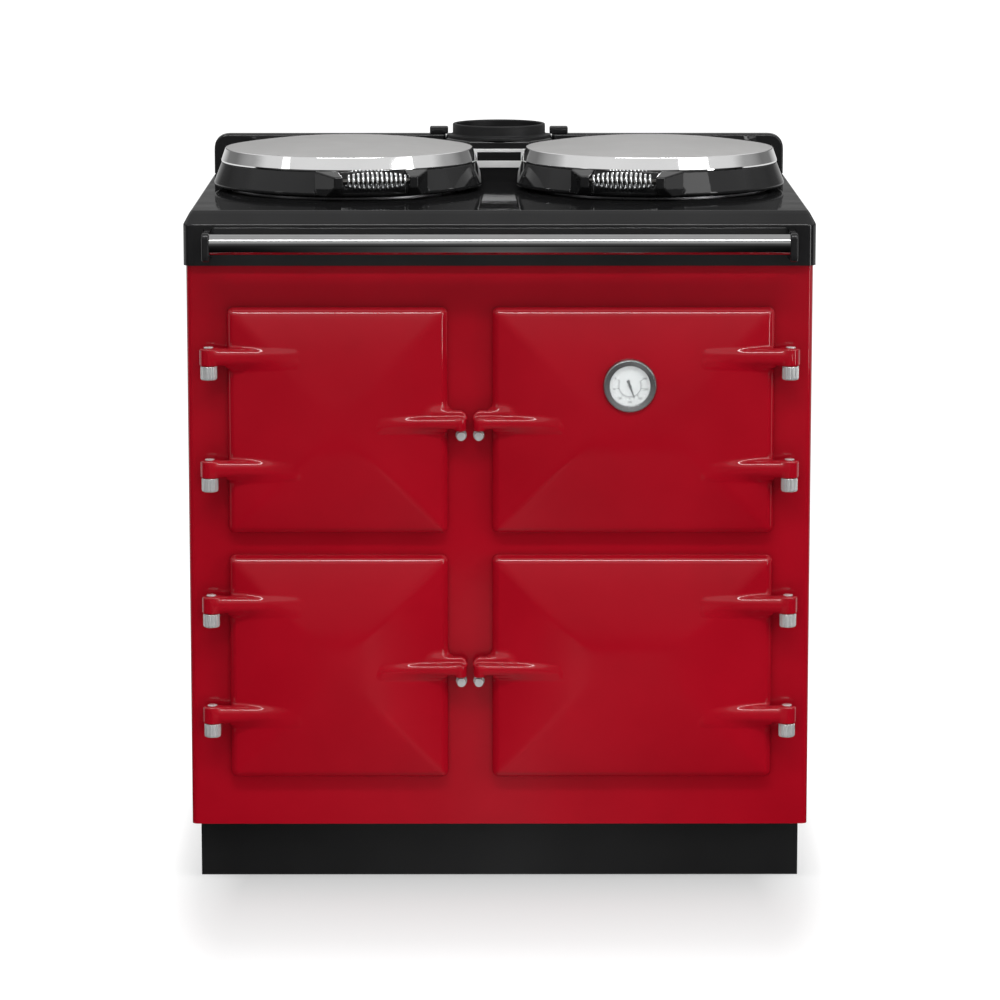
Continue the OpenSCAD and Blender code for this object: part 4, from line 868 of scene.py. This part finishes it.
def doorLines(door):
    # the grid is finest at the outline, the hinge arms, the handle and the thermometer's seat
    w, h = door["width"] / 2, doorCast["height"] / 2
    pin = doorCast["pinX"] - abs(door["x"])
    xBands = [(-pin - 15, -w + 14), (w - 12, w + 28)]
    zBands = [(-h - 3, -h + 12), (h - 12, h + 3), (-16, 17)] + [(a - 20, a + 14) for a in doorCast["arms"]]
    if "seat" in door:
        for bands, middle in zip((xBands, zBands), door["seat"]):
            bands.append((middle - 36, middle + 36))
    xs = gradedLine(-pin - 14.5, w + 27.5, 3.2, 1.25, xBands)
    zs = gradedLine(-h - 2.3, h + 2.3, 3.2, 1.25, zBands)
    return xs, gradedLine(-36.5, 1.6, 1.3, 1.3, []), zs


castDoors = {}  # cast as left-hand doors, and mirrored for the right-hand side
for place, door in doors.items():
    body, kind = place + "_door", (door["width"], "seat" in door)
    if kind not in castDoors:
        castDoors[kind] = castForm(doorField(door), *doorLines(door))
    at = shift(door["x"], 0, door["z"])
    castPiece(body + "Casting", castDoors[kind], at, "door_" + place, body, mirrored=door["x"] > 0)
    print("door", body, len(castDoors[kind][1]), "quads")


print("stage: hinges and catches")

hinges = {"x": 380, "y": -22, "heights": (716, 568, 387, 239), "armHalf": 11.75, "gap": 0.3, "collar": 11,
          "collarHeight": 18, "stem": 6, "pin": 5, "pinLow": -26, "cap": 6.4, "capHeight": 1.7, "flutes": 12,
          "fluteDepth": 1.1}
studs = {"x": (-50.5, -27.5), "z": (611, 282), "foot": 7.4, "footHeight": 11, "neck": 3.7, "head": 5.8,
         "headLow": 15.5, "front": 25}


def fluted(form, flutes, power, depth, size, chosen):
    # upright grooves round a turned form, at the points that are chosen by their radius and height
    points, faces = form
    radius = np.hypot(points[:, 0], points[:, 1])
    groove = np.clip(np.cos(np.arctan2(points[:, 1], points[:, 0]) * flutes), 0, 1) ** power * depth
    draw = np.where(chosen(radius, points[:, 2]), 1 - groove / size, 1)
    return points * np.stack([draw, draw, np.ones_like(draw)], 1), faces


def flutedCollar(low):
    r, high = hinges["collar"], low + hinges["collarHeight"]
    form = lathe(rounded([(0, low, 0), (r, low, 3.2), (r, high, 1.2), (0, high, 0)], 6), 144)
    return fluted(form, hinges["flutes"], 3, hinges["fluteDepth"], r, lambda radius, z: radius > r * 0.85)


def hingeForms():
    p = hinges
    arm, cap, r, out = p["armHalf"] + p["gap"], p["cap"], p["pin"], -p["y"] - 1
    collar = flutedCollar(-arm - p["collarHeight"])
    stem = lathe([(0, out), (p["stem"], out), (p["stem"], 1), (0, 1)], 40)
    pin = lathe([(0, p["pinLow"]), (r, p["pinLow"]), (r, arm), (cap, arm), (cap, arm + 0.7),
                 (cap - 0.5, arm + 1.25), (cap - 1.6, arm + 1.55), (0, arm + p["capHeight"])], 48)
    posts, pins = [], []
    for x, z in product((-p["x"], p["x"]), p["heights"]):
        at = shift(x, p["y"], z)
        posts += [moved(collar, at), moved(stem, shift(x, 0, z - arm - p["collarHeight"] / 2) @ alongY)]
        pins.append(moved(pin, at))
    return posts, pins


postForms, pinForms = hingeForms()
makePiece("hingePosts", postForms, "hinge_posts", "nickel", sharp=50)
makePiece("hingePins", pinForms, "hinge_pins", "nickel", sharp=40)


def studForm(x, z):
    p = studs
    foot, neck, head, front = p["foot"], p["neck"], p["head"], p["front"]
    profile = rounded([(0, 0, 0), (foot, 0, 0), (foot, p["footHeight"], 1.6), (neck, p["footHeight"], 0.8),
                       (neck, p["headLow"], 0.4), (head, p["headLow"], 1.4), (head, front, 0.9),
                       (head - 1.6, front + 0.15, 0.2), (0, front - 0.3, 0)], 4)
    return moved(lathe(profile, 48), shift(x, 0, z) @ alongY)


studForms = [studForm(x, z) for x, z in product(studs["x"], studs["z"])]
makePiece("catchStuds", studForms, "catch_studs", "nickel", sharp=40)


print("stage: grown forms")


def endForm(tree, end, geometry, material):
    smooth = put(tree, "GeometryNodeSetShadeSmooth", {"Geometry": geometry})
    real = put(tree, "GeometryNodeRealizeInstances", {"Geometry": smooth.outputs[0]})
    painted = put(tree, "GeometryNodeSetMaterial", {"Geometry": real.outputs[0], "Material": material})
    tree.links.new(painted.outputs[0], end.inputs[0])
    return tree


def growForm(tree, settings):
    # runs a tree with these settings and gives back its form
    holder = newObject("grow", bpy.data.meshes.new("grow"))
    change = holder.modifiers.new("grow", "NODES")
    change.node_group = tree
    for item in tree.interface.items_tree:
        if item.in_out == "INPUT":
            change[item.identifier] = settings[item.name]
    return takeForm(holder)


def grow(tree, kind, inputs, output=0, **settings):
    return put(tree, "GeometryNode" + kind, inputs, **settings).outputs[output]


spring = {"Length": 82.6, "Turns": 13, "Middle": 10.7, "Ends": 5.4, "Wire": 1.6, "Steps": 468}


def springTree():
    tree, get, end = startTree("GeometryNodeTree", "sprungGrip", spring, {"Geometry": "Geometry"})
    line = grow(tree, "CurvePrimitiveLine", {"End": (1, 0, 0)})
    curve = grow(tree, "ResampleCurve", {"Curve": line, "Count": get["Steps"]})
    u = grow(tree, "SplineParameter", {}, "Factor")
    angle = times(tree, times(tree, u, get["Turns"]), 2 * math.pi)
    swell = reckon(tree, "MAXIMUM", reckon(tree, "SINE", times(tree, u, math.pi)), 0.0)
    swell = times(tree, reckon(tree, "SUBTRACT", get["Middle"], get["Ends"]), reckon(tree, "SQRT", swell))
    radius = reckon(tree, "ADD", get["Ends"], swell)
    along = times(tree, reckon(tree, "SUBTRACT", u, 0.5), get["Length"])
    place = vector(tree, along, *(times(tree, radius, reckon(tree, way, angle)) for way in ("COSINE", "SINE")))
    helix = grow(tree, "SetPosition", {"Geometry": curve, "Position": place})
    wire = grow(tree, "CurvePrimitiveCircle", {"Resolution": 12, "Radius": get["Wire"]})
    coil = grow(tree, "CurveToMesh", {"Curve": helix, "Profile Curve": wire, "Fill Caps": True})
    return endForm(tree, end, coil, finish["chrome"])


seal = {"Width": 262.4, "Height": 273.4, "Corner": 9.0, "Across": 4.0, "Lay": 75, "Step": 1.6}
sealPlace = {"inset": 13.4, "y": -4.7}  # from the door's edge to the middle of its rope, and how far out it lies


def sealTree():
    tree, get, end = startTree("GeometryNodeTree", "ropeSeal", seal, {"Geometry": "Geometry"})
    square = grow(tree, "CurvePrimitiveQuadrilateral", {"Width": get["Width"], "Height": get["Height"]})
    soft = grow(tree, "FilletCurve", {"Curve": square, "Radius": get["Corner"]}, mode="BEZIER")
    path = grow(tree, "ResampleCurve", {"Curve": soft, "Length": get["Step"]}, mode="LENGTH")
    u = grow(tree, "SplineParameter", {}, "Factor")
    twist = times(tree, times(tree, u, get["Lay"]), 2 * math.pi / 5)
    twisted = grow(tree, "SetCurveTilt", {"Curve": path, "Tilt": twist})
    strands = grow(tree, "CurveStar", {"Points": 5, "Inner Radius": times(tree, get["Across"], 0.8),
                                       "Outer Radius": get["Across"]})
    rope = grow(tree, "CurveToMesh", {"Curve": twisted, "Profile Curve": strands})
    return endForm(tree, end, rope, finish["rope"])


shelf = {"Bars": 16, "Width": 318.0, "Depth": 422.0, "Wire": 2.5}


def shelfTree():
    tree, get, end = startTree("GeometryNodeTree", "wireShelf", shelf, {"Geometry": "Geometry"})
    bar = grow(tree, "MeshCylinder", {"Vertices": 16, "Radius": get["Wire"], "Depth": get["Width"]}, "Mesh")
    pitch = reckon(tree, "DIVIDE", get["Depth"], reckon(tree, "SUBTRACT", get["Bars"], 1.0))
    row = grow(tree, "MeshLine", {"Count": get["Bars"], "Offset": vector(tree, None, pitch)})
    bars = grow(tree, "InstanceOnPoints", {"Points": row, "Instance": bar, "Rotation": (0, math.pi / 2, 0)})
    return endForm(tree, end, bars, finish["chrome"])


marks = {"Count": 31, "Radius": 15.6, "Length": 2.0, "Width": 0.45, "First": math.radians(153),
         "Sweep": math.radians(233)}


def marksTree():
    tree, get, end = startTree("GeometryNodeTree", "dialMarks", marks, {"Geometry": "Geometry"})
    mark = grow(tree, "MeshCube", {"Size": vector(tree, get["Length"], get["Width"], 0.12)})
    dots = grow(tree, "Points", {"Count": get["Count"]})
    share = reckon(tree, "DIVIDE", grow(tree, "InputIndex", {}), reckon(tree, "SUBTRACT", get["Count"], 1.0))
    angle = reckon(tree, "ADD", get["First"], times(tree, share, get["Sweep"]))
    place = vector(tree, *(times(tree, reckon(tree, way, angle), get["Radius"]) for way in ("COSINE", "SINE")))
    placed = grow(tree, "SetPosition", {"Geometry": dots, "Position": place})
    spin = vector(tree, None, None, angle)
    ring = grow(tree, "InstanceOnPoints", {"Points": placed, "Instance": mark, "Rotation": spin})
    return endForm(tree, end, ring, finish["pointer_paint"])


print("stage: lids")

lid = {"x": 206, "y": 318, "z": 910, "turn": 12}
lidBase = {"low": 185, "top": 174, "height": 33, "inner": 167, "roof": 3, "edge": 5, "lugIn": 45, "lugOut": 56.5,
           "lugFront": 206, "lugBack": 168, "lugFlare": 0.54, "lugLow": 13.6, "lugUnder": 0.68, "lugHigh": 28.6,
           "lugRise": 0.145, "barrelReach": 195, "barrelZ": 43, "barrel": 8, "barrelHalf": 19, "bore": 4.25}
lidCover = {"radius": 175, "band": 2, "top": 169.5, "side": 18, "rise": 14, "sheet": 1.2, "edge": 1.3}
gripPlace = (0, -200, 22)


def lidPlace(side):
    return shift(side * lid["x"], lid["y"], lid["z"]) @ turn(-side * lid["turn"], "Z")


def leaning(distance, slope):
    # a sloped face's distance, measured square to it
    return distance / math.hypot(1, slope)


def lidBaseField(x, y, z):
    p = lidBase
    r, ax = np.hypot(x, y), np.abs(x)
    lean = (p["low"] - p["top"]) / (p["height"] - p["edge"])
    wall = leaning(r - p["low"] + lean * np.maximum(z - p["edge"], 0), lean)
    form = roundMax(roundMax(wall, -z, 4.0), z - p["height"], 1.2)
    # handle lugs: the outer cheek flares back into the wall, and the underside slopes away
    back = y + p["lugFront"]
    cheek = leaning(ax - p["lugOut"] - p["lugFlare"] * back, p["lugFlare"])
    under = leaning(p["lugLow"] - z - p["lugUnder"] * back, p["lugUnder"])
    over = leaning(z - p["lugHigh"] - p["lugRise"] * back, p["lugRise"])
    lug = roundMax(roundMax(cheek, p["lugIn"] - ax, 1.8), -back, 1.8)
    lug = roundMax(roundMax(lug, over, 1.8), np.maximum(under, 1.5 - z), 1.6)
    form = smoothMin(form, np.maximum(lug, y + p["lugBack"]), 2.6)
    # hinge lug at the back, rising to its barrel
    neck = roundMax(roundMax(ax - p["barrelHalf"], y - p["barrelReach"] - p["barrel"], 1.5), 160 - y, 1)
    neck = roundMax(neck, leaning(y - (p["low"] - 1) - (z - 10) * 0.576, 0.576), 2)
    neck = roundMax(neck, leaning(z - 31 - np.maximum(y - 178, 0) * 1.3, 1.3), 2)
    axle = np.hypot(y - p["barrelReach"], z - p["barrelZ"])
    barrel = roundMax(axle - p["barrel"], ax - p["barrelHalf"], 1)
    form = smoothMin(form, smoothMin(np.maximum(neck, z - p["barrelZ"]), barrel, 3), 2.2)
    form = np.maximum(form, -np.maximum(r - p["inner"], z - p["height"] + p["roof"]))
    return np.maximum(form, p["bore"] - axle)


def coverPiece(name, side, node, body):
    p, h = lidCover, lidBase["height"]
    crown, sheet = h + p["side"], p["sheet"]
    edge = rounded([(p["radius"] - sheet, h, 0), (p["radius"], h, 0.5), (p["radius"], h + p["band"], 0.8),
                    (p["top"], crown, p["edge"]), (p["top"] - 8, crown + 1.3, 0)], 5)[:-1]
    start, low = edge[-1]
    dome = [(r, low + p["rise"] * (1 - (r / start) ** 2)) for r in np.linspace(start, 0, 24)[1:]]
    under = [(r, z - sheet) for r, z in ([(start, low)] + dome)[::-1]] + [(p["radius"] - sheet * 2, h + 2)]
    form = moved(lathe(edge + dome + under + [edge[0]], 256), lidPlace(side))
    piece = makePiece(name, form, node, body=body, sharp=60)
    piece.data.materials.append(finish["crown"])
    # the crown is satin, the side stays bright
    middle = np.array([side * lid["x"], lid["y"] - plateFace]) * 0.001
    for face in piece.data.polygons:
        away = math.hypot(*(face.center[:2] - middle))
        if away < (start - 0.2) * 0.001 and face.center[2] > (lid["z"] + low) * 0.001:
            face.material_index = 1


gripForm = growForm(springTree(), spring)
baseYs = [np.arange(-208, -150, 1.5), np.arange(-150, 150, 2.6), np.arange(150, 206, 1.5)]
baseCast = castForm(lidBaseField, gradedLine(-187, 187, 3.0, 1.5, [(-76, -40), (40, 76), (-22, 22)]),
                    np.concatenate(baseYs), np.arange(-1.5, 54, 1.5))
print("lid base", len(baseCast[1]), "quads")
for label, side in (("left", -1), ("right", 1)):
    body, place = label + "_lid", lidPlace(side)
    castPiece(label + "LidBase", baseCast, place, "lid_" + label + "_base", body)
    coverPiece(label + "LidCover", side, "lid_" + label + "_cover", body)
    grip = moved(gripForm, place @ shift(*gripPlace) @ Matrix.Diagonal((side, 1, 1, 1)))
    makePiece(label + "LidGrip", grip, "lid_" + label + "_spring", body=body, sharp=80)

for place, door in doors.items():
    body, inset = place + "_door", 2 * sealPlace["inset"]
    size = dict(seal, Width=door["width"] - inset, Height=doorCast["height"] - inset)
    rope = moved(growForm(sealTree(), size), shift(door["x"], sealPlace["y"], door["z"]) @ alongY)
    makePiece(body + "Seal", rope, "seal_" + place, body=body, sharp=80)


print("stage: thermometer")

# depths are counted forwards from the front plate's face
thermometer = {"x": 170, "z": 679, "bezel": 34.5, "bore": 27.5, "front": 37, "seat": 27, "housingBack": 8.5,
               "lip": 26.6, "dial": 26.45, "dialBack": 29.4, "dialFront": 30.5, "glass": (34.5, 36.0),
               "pointer": 32.2, "print": 30.58, "rest": 20}
scale = {"first": 153, "sweep": 233, "numbers": 7, "step": 50, "size": 3.9, "radius": 21.2, "band": (13.9, 14.5)}


def aroundDial(form, out=0.0):
    # a form drawn in the x-y plane, seen from the front, set on the dial's axis
    return moved(form, shift(thermometer["x"], -out, thermometer["z"]) @ alongY)


def instrumentProfiles():
    # bezel, dial and glass: profile, sides, and whether the profile closes on itself
    p = thermometer
    r, bore, lip, front, seat, back = (p[k] for k in ("bezel", "bore", "lip", "front", "seat", "housingBack"))
    bezel = rounded([(bore - 0.3, back, 0), (bore - 0.3, seat, 0.5), (r, seat, 0.6), (r, front - 1.7, 0.9),
                     (r - 1.3, front, 0.8), (lip, front - 1.4, 0.5), (lip, 30.4, 0), (bore - 1.6, 30.4, 0),
                     (bore - 1.6, back, 0)], 4)
    low, high, edge = p["dialBack"], p["dialFront"], p["dial"]
    dial = [(1.65, low), (1.65, high), (edge - 0.5, high), (edge, high - 0.3), (edge, low)]
    low, high = p["glass"]
    glass = rounded([(0, low, 0), (26.4, low, 0.3), (26.4, high, 0.6), (0, high, 0)], 3)
    return {"Bezel": (bezel, 128, True, "bezel"), "Dial": (dial, 96, True, "dial_face"),
            "Glass": (glass, 96, False, "dial_glass")}


for label, (profile, sides, closed, look) in instrumentProfiles().items():
    form = aroundDial(lathe(profile, sides, closed))
    makePiece("thermometer" + label, form, "thermometer_" + label.lower(), look, "upper_right_door", sharp=50)


def arcBand(inner, outer, first, last, low, high, steps=72):
    corners = ((inner, low), (outer, low), (outer, high), (inner, high))
    angles = np.radians(np.linspace(first, last, steps))
    return loft([[(r * math.cos(a), r * math.sin(a), z) for r, z in corners] for a in angles])


def numberForm(words, size, x, y):
    text = bpy.data.curves.new("number", "FONT")
    text.body, text.size, text.align_x, text.align_y, text.extrude = words, size, "CENTER", "CENTER", 0.05
    text.resolution_u, text.offset = 3, 0.05
    return moved(takeForm(newObject("number", text)), shift(x, y, 0))


def dialForms():
    p = scale
    forms = [arcBand(*p["band"], p["first"], p["first"] + p["sweep"], -0.05, 0.05), growForm(marksTree(), marks)]
    forms.append(growForm(marksTree(), dict(marks, Count=p["numbers"], Length=3.2, Width=0.75, Radius=16.2)))
    for i in range(p["numbers"]):
        a = math.radians(p["first"] + p["sweep"] * i / (p["numbers"] - 1))
        x, y = p["radius"] * math.cos(a), p["radius"] * math.sin(a)
        forms.append(numberForm(str(i * p["step"]), p["size"], x, y))
    return aroundDial(joined(*forms), thermometer["print"])


makePiece("dialPrint", dialForms(), None, "pointer_paint", "upper_right_door", sharp=30)


def pointerForm():
    # outline drawn pointing down, with a flared tail
    outline = [(-1.5, -2.2), (-0.35, -17), (0.35, -17), (1.5, -2.2), (2.0, 0), (1.3, 2.2), (2.5, 8), (-2.5, 8),
               (-1.3, 2.2), (-2.0, 0)]
    hand = plate([roundedLoop([(x, y, 0.5) for x, y in outline], 3)], 0.7, 0.2, 2)
    hub = lathe([(0, -1.2), (1.5, -1.2), (1.5, 0.9), (1.1, 1.3), (0, 1.4)], 32)
    spindle = lathe([(0, -20), (1.4, -20), (1.4, 0), (0, 0)], 24)
    return moved(joined(hand, hub, spindle), turn(thermometer["rest"], "Z"))


makePiece("thermometerPointer", aroundDial(pointerForm(), thermometer["pointer"]), "thermometer_pointer",
          body="pointer", sharp=40)


print("stage: lid hinges, shelves and knob")

bracket = {"reach": 195, "z": 43, "ear": 8, "earIn": 19.3, "radius": 8, "hole": 4.3, "low": -5, "foot": 5}


def bracketForms(side):
    p = bracket
    r, z, reach, out = p["radius"], p["z"], p["reach"], p["earIn"] + p["ear"]
    loop = [(-r, p["low"]), (r, p["low"]), (r, z)]
    loop += [(r * math.cos(a), z + r * math.sin(a)) for a in np.radians(np.arange(10, 171, 10))] + [(-r, z)]
    hole = [(p["hole"] * math.cos(a), z + p["hole"] * math.sin(a)) for a in np.radians(np.arange(0, 360, 15))]
    ear = plate([[(b, a) for a, b in outline] for outline in (loop, hole)], p["ear"], 1.3)
    forms = [moved(ear, shift(s * (p["earIn"] + p["ear"] / 2), reach, 0) @ turn(-90, "Y")) for s in (-1, 1)]
    forms.append(roundedBox((-out, reach - r, p["low"]), (out, reach + r, p["low"] + p["foot"]), 1.2))
    return [moved(form, lidPlace(side)) for form in forms]


def lidPinForm(side):
    out = bracket["earIn"] + bracket["ear"] + 0.3
    end = rounded([(4, out, 0), (6, out, 0.3), (6, out + 3, 1.1), (0, out + 3, 0)], 4)
    profile = [(r, -h) for r, h in end[::-1]] + end
    return moved(lathe(profile, 40), lidPlace(side) @ shift(0, bracket["reach"], bracket["z"]) @ alongX)


makePiece("lidHingeBrackets", bracketForms(-1) + bracketForms(1), "lid_hinge_brackets", sharp=32)
makePiece("lidHingePins", [lidPinForm(-1), lidPinForm(1)], "lid_hinge_pins", "sheet_steel", sharp=40)


def nodeBox(node):
    # a node's corners in mm, with y counted from the front plate's face
    return [(p.x * 1000, p.y * 1000 + plateFace, p.z * 1000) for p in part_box(node)]


for label, z in (("main_oven_shelf", 612), ("slow_oven_shelf", 283)):
    (left, front, low), (right, back, high) = nodeBox(label)
    wide, wire, middle = right - left, (high - low) / 2, (left + right) / 2
    size = dict(shelf, Width=wide, Depth=back - front - 4 * wire, Wire=wire)
    forms = [moved(growForm(shelfTree(), size), shift(middle, front + 2 * wire, z))]
    runner = rounded([(0, front, 0), (wire, front, wire * 0.6), (wire, back, wire * 0.6), (0, back, 0)], 3)
    for x in (-wide / 2 + wire, 0, wide / 2 - wire):
        forms.append(moved(lathe([(r, -h) for r, h in runner], 16), shift(middle + x, 0, z) @ alongY))
    makePiece(label + "Wires", forms, label, sharp=60)

knob = {"x": -273.75, "z": 263, "panel": 200, "flutes": 18, "fluteDepth": 0.04}


def knobForms():
    (left, front, _), (right, back, _) = nodeBox("thermostat_knob")
    face, r, x, z = knob["panel"] - 0.3, (right - left) / 2, knob["x"], knob["z"]
    profile = rounded([(0, -back, 0), (3.0, -back, 0), (3.0, -face, 0), (r, -face, 0.4), (r, -face + 3, 1.0),
                       (r * 0.82, -face + 4, 0.8), (r * 0.74, -front, 1.5), (0, -front, 0)], 4)
    grip = fluted(lathe(profile, 120), knob["flutes"], 2, knob["fluteDepth"], 1,
                  lambda radius, height: (height > -face + 4.2) & (radius > r * 0.6))
    mark = roundedBox((x - 0.8, front - 0.02, z + r * 0.3), (x + 0.8, front + 1.5, z + r * 0.68), 0.3)
    return moved(grip, shift(x, 0, z) @ alongY), mark


knobBody, knobMark = knobForms()
makePiece("thermostatKnob", knobBody, "thermostat_knob", body="knob", sharp=40)
makePiece("knobMark", knobMark, None, "dial_face", "knob", sharp=40)


print("stage: studio")

studio = {"floorSize": 90.0, "ambient": 0.51, "camera": (-0.0126, -5.940875, 1.4842), "pitch": -9.573,
          "yaw": 0.131, "lens": 157.9}
# greys along a distance or a direction, as (place, grey)
floorRamps = {
    # painted shadow: the paper's glow by distance from the foot, lowest at the foot
    "paintedFootShadow": [(0.0, 0.42), (0.15, 0.52), (0.30, 0.60), (0.45, 0.74), (0.62, 1.0)],
    # path, lane and far: the painted pool of light that the floor shows in reflections
    "path": [(0.0, 0.30), (0.08, 0.23), (0.14, 0.19), (0.25, 0.165), (0.56, 0.17), (0.63, 0.09), (0.70, 0.0),
             (1.0, 0.0)],
    "lane": [(0.0, 1.0), (0.06, 0.97), (0.15, 0.62), (0.25, 0.46), (0.42, 0.26), (0.60, 0.08), (0.83, 0.0)],
    "far": [(0.0, 0.0), (0.07, 0.0), (0.22, 0.012), (0.34, 0.042), (0.56, 0.06), (0.67, 0.075), (1.0, 0.08)],
}
roomRamps = {
    "front": [(0.0, 0.07), (0.15, 0.075), (0.20, 0.10), (0.31, 0.16), (0.44, 0.29), (0.49, 0.66), (0.60, 0.72),
              (0.72, 0.60), (1.0, 0.74)],
    "back": [(0.0, 0.70), (0.18, 0.60), (0.26, 0.18), (0.34, 0.16), (0.50, 0.55), (0.62, 0.85), (0.80, 0.66),
             (1.0, 0.74)],
}


def greys(tree, value, stops):
    # a ramp's elements re-sort when they move, so the ends are set first and the rest made in place
    node = put(tree, "ShaderNodeValToRGB", {0: value})
    ramp = node.color_ramp
    for element, (at, grey) in zip(list(ramp.elements), (stops[0], stops[-1])):
        element.position, element.color = at, (grey, grey, grey, 1)
    for at, grey in stops[1:-1]:
        ramp.elements.new(at).color = (grey, grey, grey, 1)
    return node.outputs[0]


def seenDirectly(tree, rays):
    return reckon(tree, "MAXIMUM", rays["Is Camera Ray"], rays["Is Transmission Ray"])


def makeFloor():
    s = studio["floorSize"] / 2
    mesh = bpy.data.meshes.new("floor")
    mesh.from_pydata([(x, y, 0) for x, y in rectangle(-s, -s, s, s)], [], [(0, 1, 2, 3)])
    floor = newObject("floor", mesh)
    material, tree, shader = startMaterial("floorPaper")
    split = put(tree, "ShaderNodeSeparateXYZ", {0: objectPlace(tree)}).outputs
    side = reckon(tree, "ABSOLUTE", split["X"])
    # white paper whose glow is lowered round the foot, a painted shadow there, so that the real contact shadow
    # also stays in sight
    squares = []
    for axis, half, haste in (("X", 0.34, 5.0), ("Y", 0.22, 1.0)):
        away = reckon(tree, "SUBTRACT", reckon(tree, "ABSOLUTE", split[axis]), half)
        away = reckon(tree, "MAXIMUM", times(tree, away, haste), 0.0)
        squares.append(times(tree, away, away))
    distance = reckon(tree, "SQRT", reckon(tree, "ADD", *squares))
    # painted shadow: the paper glows less near the foot
    white = put(tree, "ShaderNodeEmission", {"Strength": greys(tree, distance, floorRamps["paintedFootShadow"])})
    feed(tree, shader, {"Base Color": (0.3, 0.3, 0.3, 1), "Roughness": 0.9, "Specular IOR Level": 0.0})
    paper = put(tree, "ShaderNodeAddShader", {0: shader.outputs[0], 1: white.outputs[0]})
    # painted reflection: to the part's gloss the floor glows as a soft bright path ahead of the foot, dull
    # further away, a painted pool of light in place of a lit floor
    ahead = times(tree, split["Y"], -1.0)
    path = greys(tree, between(tree, ahead, 0.0, 4.0), floorRamps["path"])
    spread = reckon(tree, "DIVIDE", side, between(tree, ahead, 0.0, 3.0, 0.80, 1.55))
    lane = greys(tree, between(tree, spread, 0.0, 0.6), floorRamps["lane"])
    far = greys(tree, between(tree, ahead, 0.0, 12.0), floorRamps["far"])
    shown = reckon(tree, "ADD", times(tree, path, lane), far)
    flank = times(tree, between(tree, ahead, 0.0, -0.5), between(tree, side, 0.8, 1.4))
    shown = reckon(tree, "MAXIMUM", shown, times(tree, flank, 0.8))
    mirrored = put(tree, "ShaderNodeEmission", {"Strength": shown})
    dull = put(tree, "ShaderNodeBsdfDiffuse", {"Color": (0.50, 0.50, 0.50, 1)})
    rays = put(tree, "ShaderNodeLightPath").outputs
    gloss = mixShaders(tree, rays["Is Glossy Ray"], dull, mirrored)
    seen = mixShaders(tree, seenDirectly(tree, rays), gloss, paper)
    tree.links.new(seen.outputs[0], tree.nodes["Material Output"].inputs["Surface"])
    mesh.materials.append(material)


def makeWorld():
    world = bpy.data.worlds.new("studio")
    bpy.context.scene.world = world
    world.use_nodes = True
    tree = world.node_tree
    tree.nodes.clear()
    split = put(tree, "ShaderNodeSeparateXYZ", {0: put(tree, "ShaderNodeTexCoord").outputs["Generated"]}).outputs
    rise = between(tree, split["Z"], -0.2, 1.0)
    front, back = (greys(tree, rise, roomRamps[way]) for way in ("front", "back"))
    room = blendColour(tree, between(tree, split["Y"], 0.0, 0.4), front, back)
    soft, white = (put(tree, "ShaderNodeBackground", {"Color": (1, 1, 1, 1), "Strength": strength})
                   for strength in (studio["ambient"], 1.0))
    mirror = put(tree, "ShaderNodeBackground", {"Color": room, "Strength": 1.0})
    rays = put(tree, "ShaderNodeLightPath").outputs
    lit = mixShaders(tree, rays["Is Glossy Ray"], soft, mirror)
    seen = mixShaders(tree, seenDirectly(tree, rays), lit, white)
    tree.links.new(seen.outputs[0], put(tree, "ShaderNodeOutputWorld").inputs["Surface"])


softboxes = {
    "frontTop": {"at": (0.0, -2.8, 4.35), "look": (0, -0.2, 0.7), "size": (4.2, 0.45), "radiance": 18.0},
    "side": {"at": (3.4, -1.6, 1.9), "look": (0, 0, 0.6), "size": (1.0, 1.4), "radiance": 5.5,
             "mirrored": False},
    "fill": {"at": (0.0, -4.2, 0.42), "look": (0, 0, 0.35), "size": (2.4, 0.8), "radiance": 2.5,
             "mirrored": False},
    "low": {"at": (0.0, -0.85, 0.12), "look": (0, 0, 0.25), "size": (0.9, 0.2), "radiance": 1.7,
            "mirrored": False},
    "rightCard": {"at": (1.05, -0.95, 1.38), "look": (0, -0.05, 0.95), "size": (0.62, 0.75), "radiance": 2.6,
                  "lights": False},
    "right": {"at": (3.9, -2.6, 1.2), "look": (0, 0, 0.9), "size": (0.5, 2.2), "radiance": 7.0},
    "left": {"at": (-4.2, -2.2, 2.2), "look": (0, 0, 0.6), "size": (0.6, 2.0), "radiance": 1.6},
}


def makeLights():
    for name, box in softboxes.items():
        light = bpy.data.lights.new(name, "AREA")
        light.shape, light.size, light.size_y = "RECTANGLE", box["size"][0], box["size"][1]
        light.energy = box["radiance"] * math.pi * box["size"][0] * box["size"][1]
        holder = newObject(name, light)
        holder.location = box["at"]
        holder.visible_camera = False
        holder.visible_glossy, holder.visible_diffuse = box.get("mirrored", True), box.get("lights", True)
        aim = shift(*box["look"]).translation - holder.location
        holder.rotation_euler = aim.to_track_quat("-Z", "Y").to_euler()


def makeCamera():
    camera = bpy.data.cameras.new("view")
    camera.lens, camera.sensor_width, camera.clip_end = studio["lens"], 36, 200
    holder = newObject("view", camera)
    holder.location = studio["camera"]
    holder.rotation_euler = (math.radians(90 + studio["pitch"]), 0, math.radians(-studio["yaw"]))
    bpy.context.scene.camera = holder


makeFloor()
makeWorld()
makeLights()
makeCamera()
bpy.context.scene.view_settings.view_transform = "Standard"

print("stage: finish")
